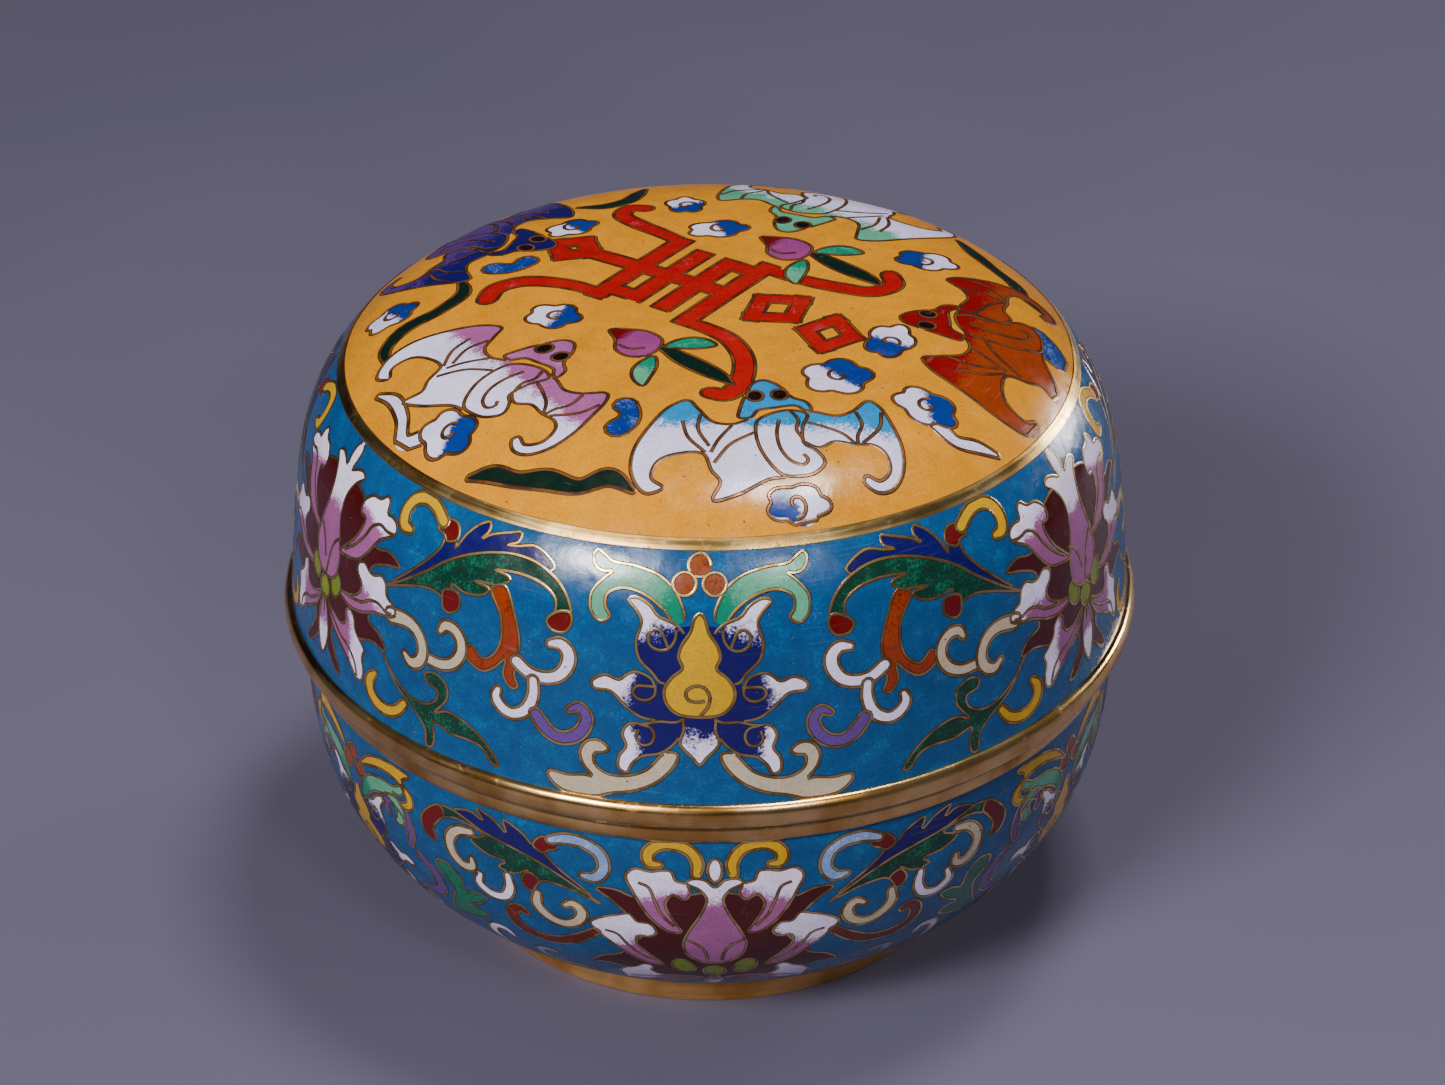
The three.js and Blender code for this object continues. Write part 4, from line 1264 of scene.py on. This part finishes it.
lid_runs = round_wires([(gourds, 0, False), (lotus, 1, False), (scrolls, 0, True)], lid_band)
lid_wires = wire_piece("lid_wires", lid_runs, lid_band, WIRE_BRASS, WIRE_HALF)
bowl_runs = round_wires([(bowl_lotus_cells, 0, False), (bowl_gourd_cells, 1, False),
    (bowl_scroll_cells, 0, True)], bowl_band)
bowl_wires = wire_piece("bowl_wires", bowl_runs, bowl_band, WIRE_BRASS, WIRE_HALF)
top_runs = []
for run in top_drawing.bare_wires():
    run = run[np.linalg.norm(run, axis=1) < MEDALLION_RADIUS - BAND_WIDTH - TOP_MARGIN]
    if len(run) > 3:
        top_runs.append(run)
medallion_wires = wire_piece("medallion_wires", top_runs, crown, TOP_WIRE_BRASS, TOP_WIRE_HALF)


# Brass pieces
def roll_section(radius, bottom, height):
    angle = np.linspace(-math.pi / 2, math.pi / 2, ROLL_STEPS + 1)
    half = height / 2
    return np.stack([radius - ROLL_PROUD + ROLL_PROUD * np.cos(angle),
        bottom + half + half * np.sin(angle)], axis=1)


SEAT = 0.15
EASED = 0.3
COLLAR_TOP = BOWL_RIM_TOP + COLLAR_HEIGHT
FOOT_TOP = FOOT_HEIGHT + 0.28
bowl_roll = roll_section(BOWL_RIM_RADIUS, BOWL_TOP - SEAT, BOWL_RIM_TOP - BOWL_TOP + SEAT)
bowl_rim = plain_piece("bowl_rim_brass", np.vstack([[(COLLAR_INSIDE, BOWL_TOP - SEAT)], bowl_roll,
    [(COLLAR_OUTSIDE, BOWL_RIM_TOP), (COLLAR_OUTSIDE, COLLAR_TOP - EASED),
    (COLLAR_OUTSIDE - EASED, COLLAR_TOP), (COLLAR_INSIDE + EASED, COLLAR_TOP),
    (COLLAR_INSIDE, COLLAR_TOP - EASED), (COLLAR_INSIDE, BOWL_TOP - SEAT)]]), RIM_BRASS)
lid_roll = roll_section(RIM_RADIUS, LID_RIM_BOTTOM, LID_BOTTOM - LID_RIM_BOTTOM + SEAT)
lid_rim = plain_piece("lid_rim_brass", np.vstack([[(LID_INSIDE, lid_roll[0, 1])], lid_roll,
    [(LID_INSIDE, lid_roll[-1, 1]), (LID_INSIDE, lid_roll[0, 1])]]), RIM_BRASS)
foot_inside = FOOT_RADIUS - FOOT_WIDTH
foot = plain_piece("foot_ring_brass", [(foot_inside, EASED), (foot_inside + EASED, 0),
    (FOOT_RADIUS - 0.4, 0), (FOOT_RADIUS - 0.1, 0.12), (FOOT_RADIUS, 0.4), (FOOT_RADIUS, 2.0),
    (FOOT_RADIUS, FOOT_TOP), (foot_inside, FOOT_TOP), (foot_inside, EASED)], FOOT_BRASS)


def beside_edge(down, out):
    edge = reach((MEDALLION_RADIUS, SHOULDER), down, -EDGE_ANGLE)
    return reach(edge, out, math.pi / 2 - EDGE_ANGLE)


band_section = [beside_edge(-BAND_WIDTH, -0.6), beside_edge(0.1, -0.6), beside_edge(0.1, 0.0),
    beside_edge(0.0, 0.1), beside_edge(-BAND_WIDTH / 2, 0.14), beside_edge(-BAND_WIDTH, 0.1),
    beside_edge(-BAND_WIDTH - 0.1, 0.0), beside_edge(-BAND_WIDTH, -0.6)]
medallion_ring = plain_piece("medallion_ring_brass", band_section, BAND_BRASS)

for piece, node in ((bowl, "bowl"), (lid, "lid"), (bowl_rim, "bowl_rim"), (lid_rim, "lid_rim"),
        (foot, "foot_ring"), (medallion_ring, "medallion_ring")):
    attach(piece, "root")
    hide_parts(node)
for piece in (lid_wires, bowl_wires, medallion_wires):
    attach(piece, "root")


# Floor: a wide sheet that curves up far behind
def make_floor():
    front, bend_start, bend_radius, top, half_width, rows = -3.0, 0.9, 0.6, 2.2, 3.2, 8
    bend = np.linspace(0, math.pi / 2, 13)[1:]
    depth = np.concatenate([np.linspace(front, bend_start, rows),
        bend_start + bend_radius * np.sin(bend), [bend_start + bend_radius]])
    height = np.concatenate([np.zeros(rows), bend_radius - bend_radius * np.cos(bend), [top]])
    vertices = [(x, y, z) for y, z in zip(depth, height) for x in (-half_width, half_width)]
    faces = [(2 * i, 2 * i + 1, 2 * i + 3, 2 * i + 2) for i in range(len(depth) - 1)]
    mesh = bpy.data.meshes.new("floor")
    mesh.from_pydata(vertices, [], faces)
    mesh.polygons.foreach_set("use_smooth", np.ones(len(faces), bool))
    return shown("floor", mesh, floor_material())


make_floor()


AIM = (0, 0, 0.05)


def softbox(name, place, width, height, power, colour):
    light = bpy.data.lights.new(name, "AREA")
    light.shape = "RECTANGLE"
    light.size, light.size_y = width, height
    light.energy = power
    light.color = colour
    lamp = bpy.data.objects.new(name, light)
    lamp.location = place
    lamp.rotation_euler = (Vector(AIM) - Vector(place)).to_track_quat("-Z", "Y").to_euler()
    bpy.context.collection.objects.link(lamp)


softbox("box_key", (-0.35, -0.55, 0.54), 0.23, 0.17, 8.4, (1.0, 0.99, 0.98))
softbox("box_front_right", (0.26, -0.68, 0.66), 0.12, 0.18, 1.8, (1.0, 0.99, 0.98))
softbox("box_top", (0.20, 0.03, 1.05), 0.22, 0.20, 7.0, (1.0, 0.99, 0.97))
softbox("box_right", (0.62, 0.40, 0.22), 0.14, 0.16, 2.4, (1.0, 0.99, 1.0))

world = bpy.data.worlds.new("studio")
world.use_nodes = True
world.node_tree.nodes["Background"].inputs["Color"].default_value = (0.60, 0.58, 0.72, 1)
world.node_tree.nodes["Background"].inputs["Strength"].default_value = 0.10
bpy.context.scene.world = world

# Camera, as the photo's fits it
DISTANCE = 0.5153
ELEVATION = math.radians(36.45)
YAW = math.radians(0.217)
ROLL = math.radians(-0.151)
PITCH = math.radians(5.04)
LENS = 85.68
place = Vector((0, -DISTANCE * math.cos(ELEVATION), DISTANCE * math.sin(ELEVATION)))
forward = -place.normalized()
right = Vector((1, 0, 0))
up = right.cross(forward)
forward, up = (math.cos(PITCH) * forward + math.sin(PITCH) * up,
    math.cos(PITCH) * up - math.sin(PITCH) * forward)
forward, right = (math.cos(YAW) * forward + math.sin(YAW) * right,
    math.cos(YAW) * right - math.sin(YAW) * forward)
right, up = (math.cos(ROLL) * right + math.sin(ROLL) * up, math.cos(ROLL) * up - math.sin(ROLL) * right)
turned_axes = Matrix((right, up, -forward)).transposed().to_4x4()
camera = bpy.data.cameras.new("camera")
camera.lens = LENS
camera.sensor_width = 36
camera.clip_end = 20
eye = bpy.data.objects.new("camera", camera)
eye.matrix_world = Matrix.Translation(place) @ turned_axes
bpy.context.collection.objects.link(eye)
bpy.context.scene.camera = eye
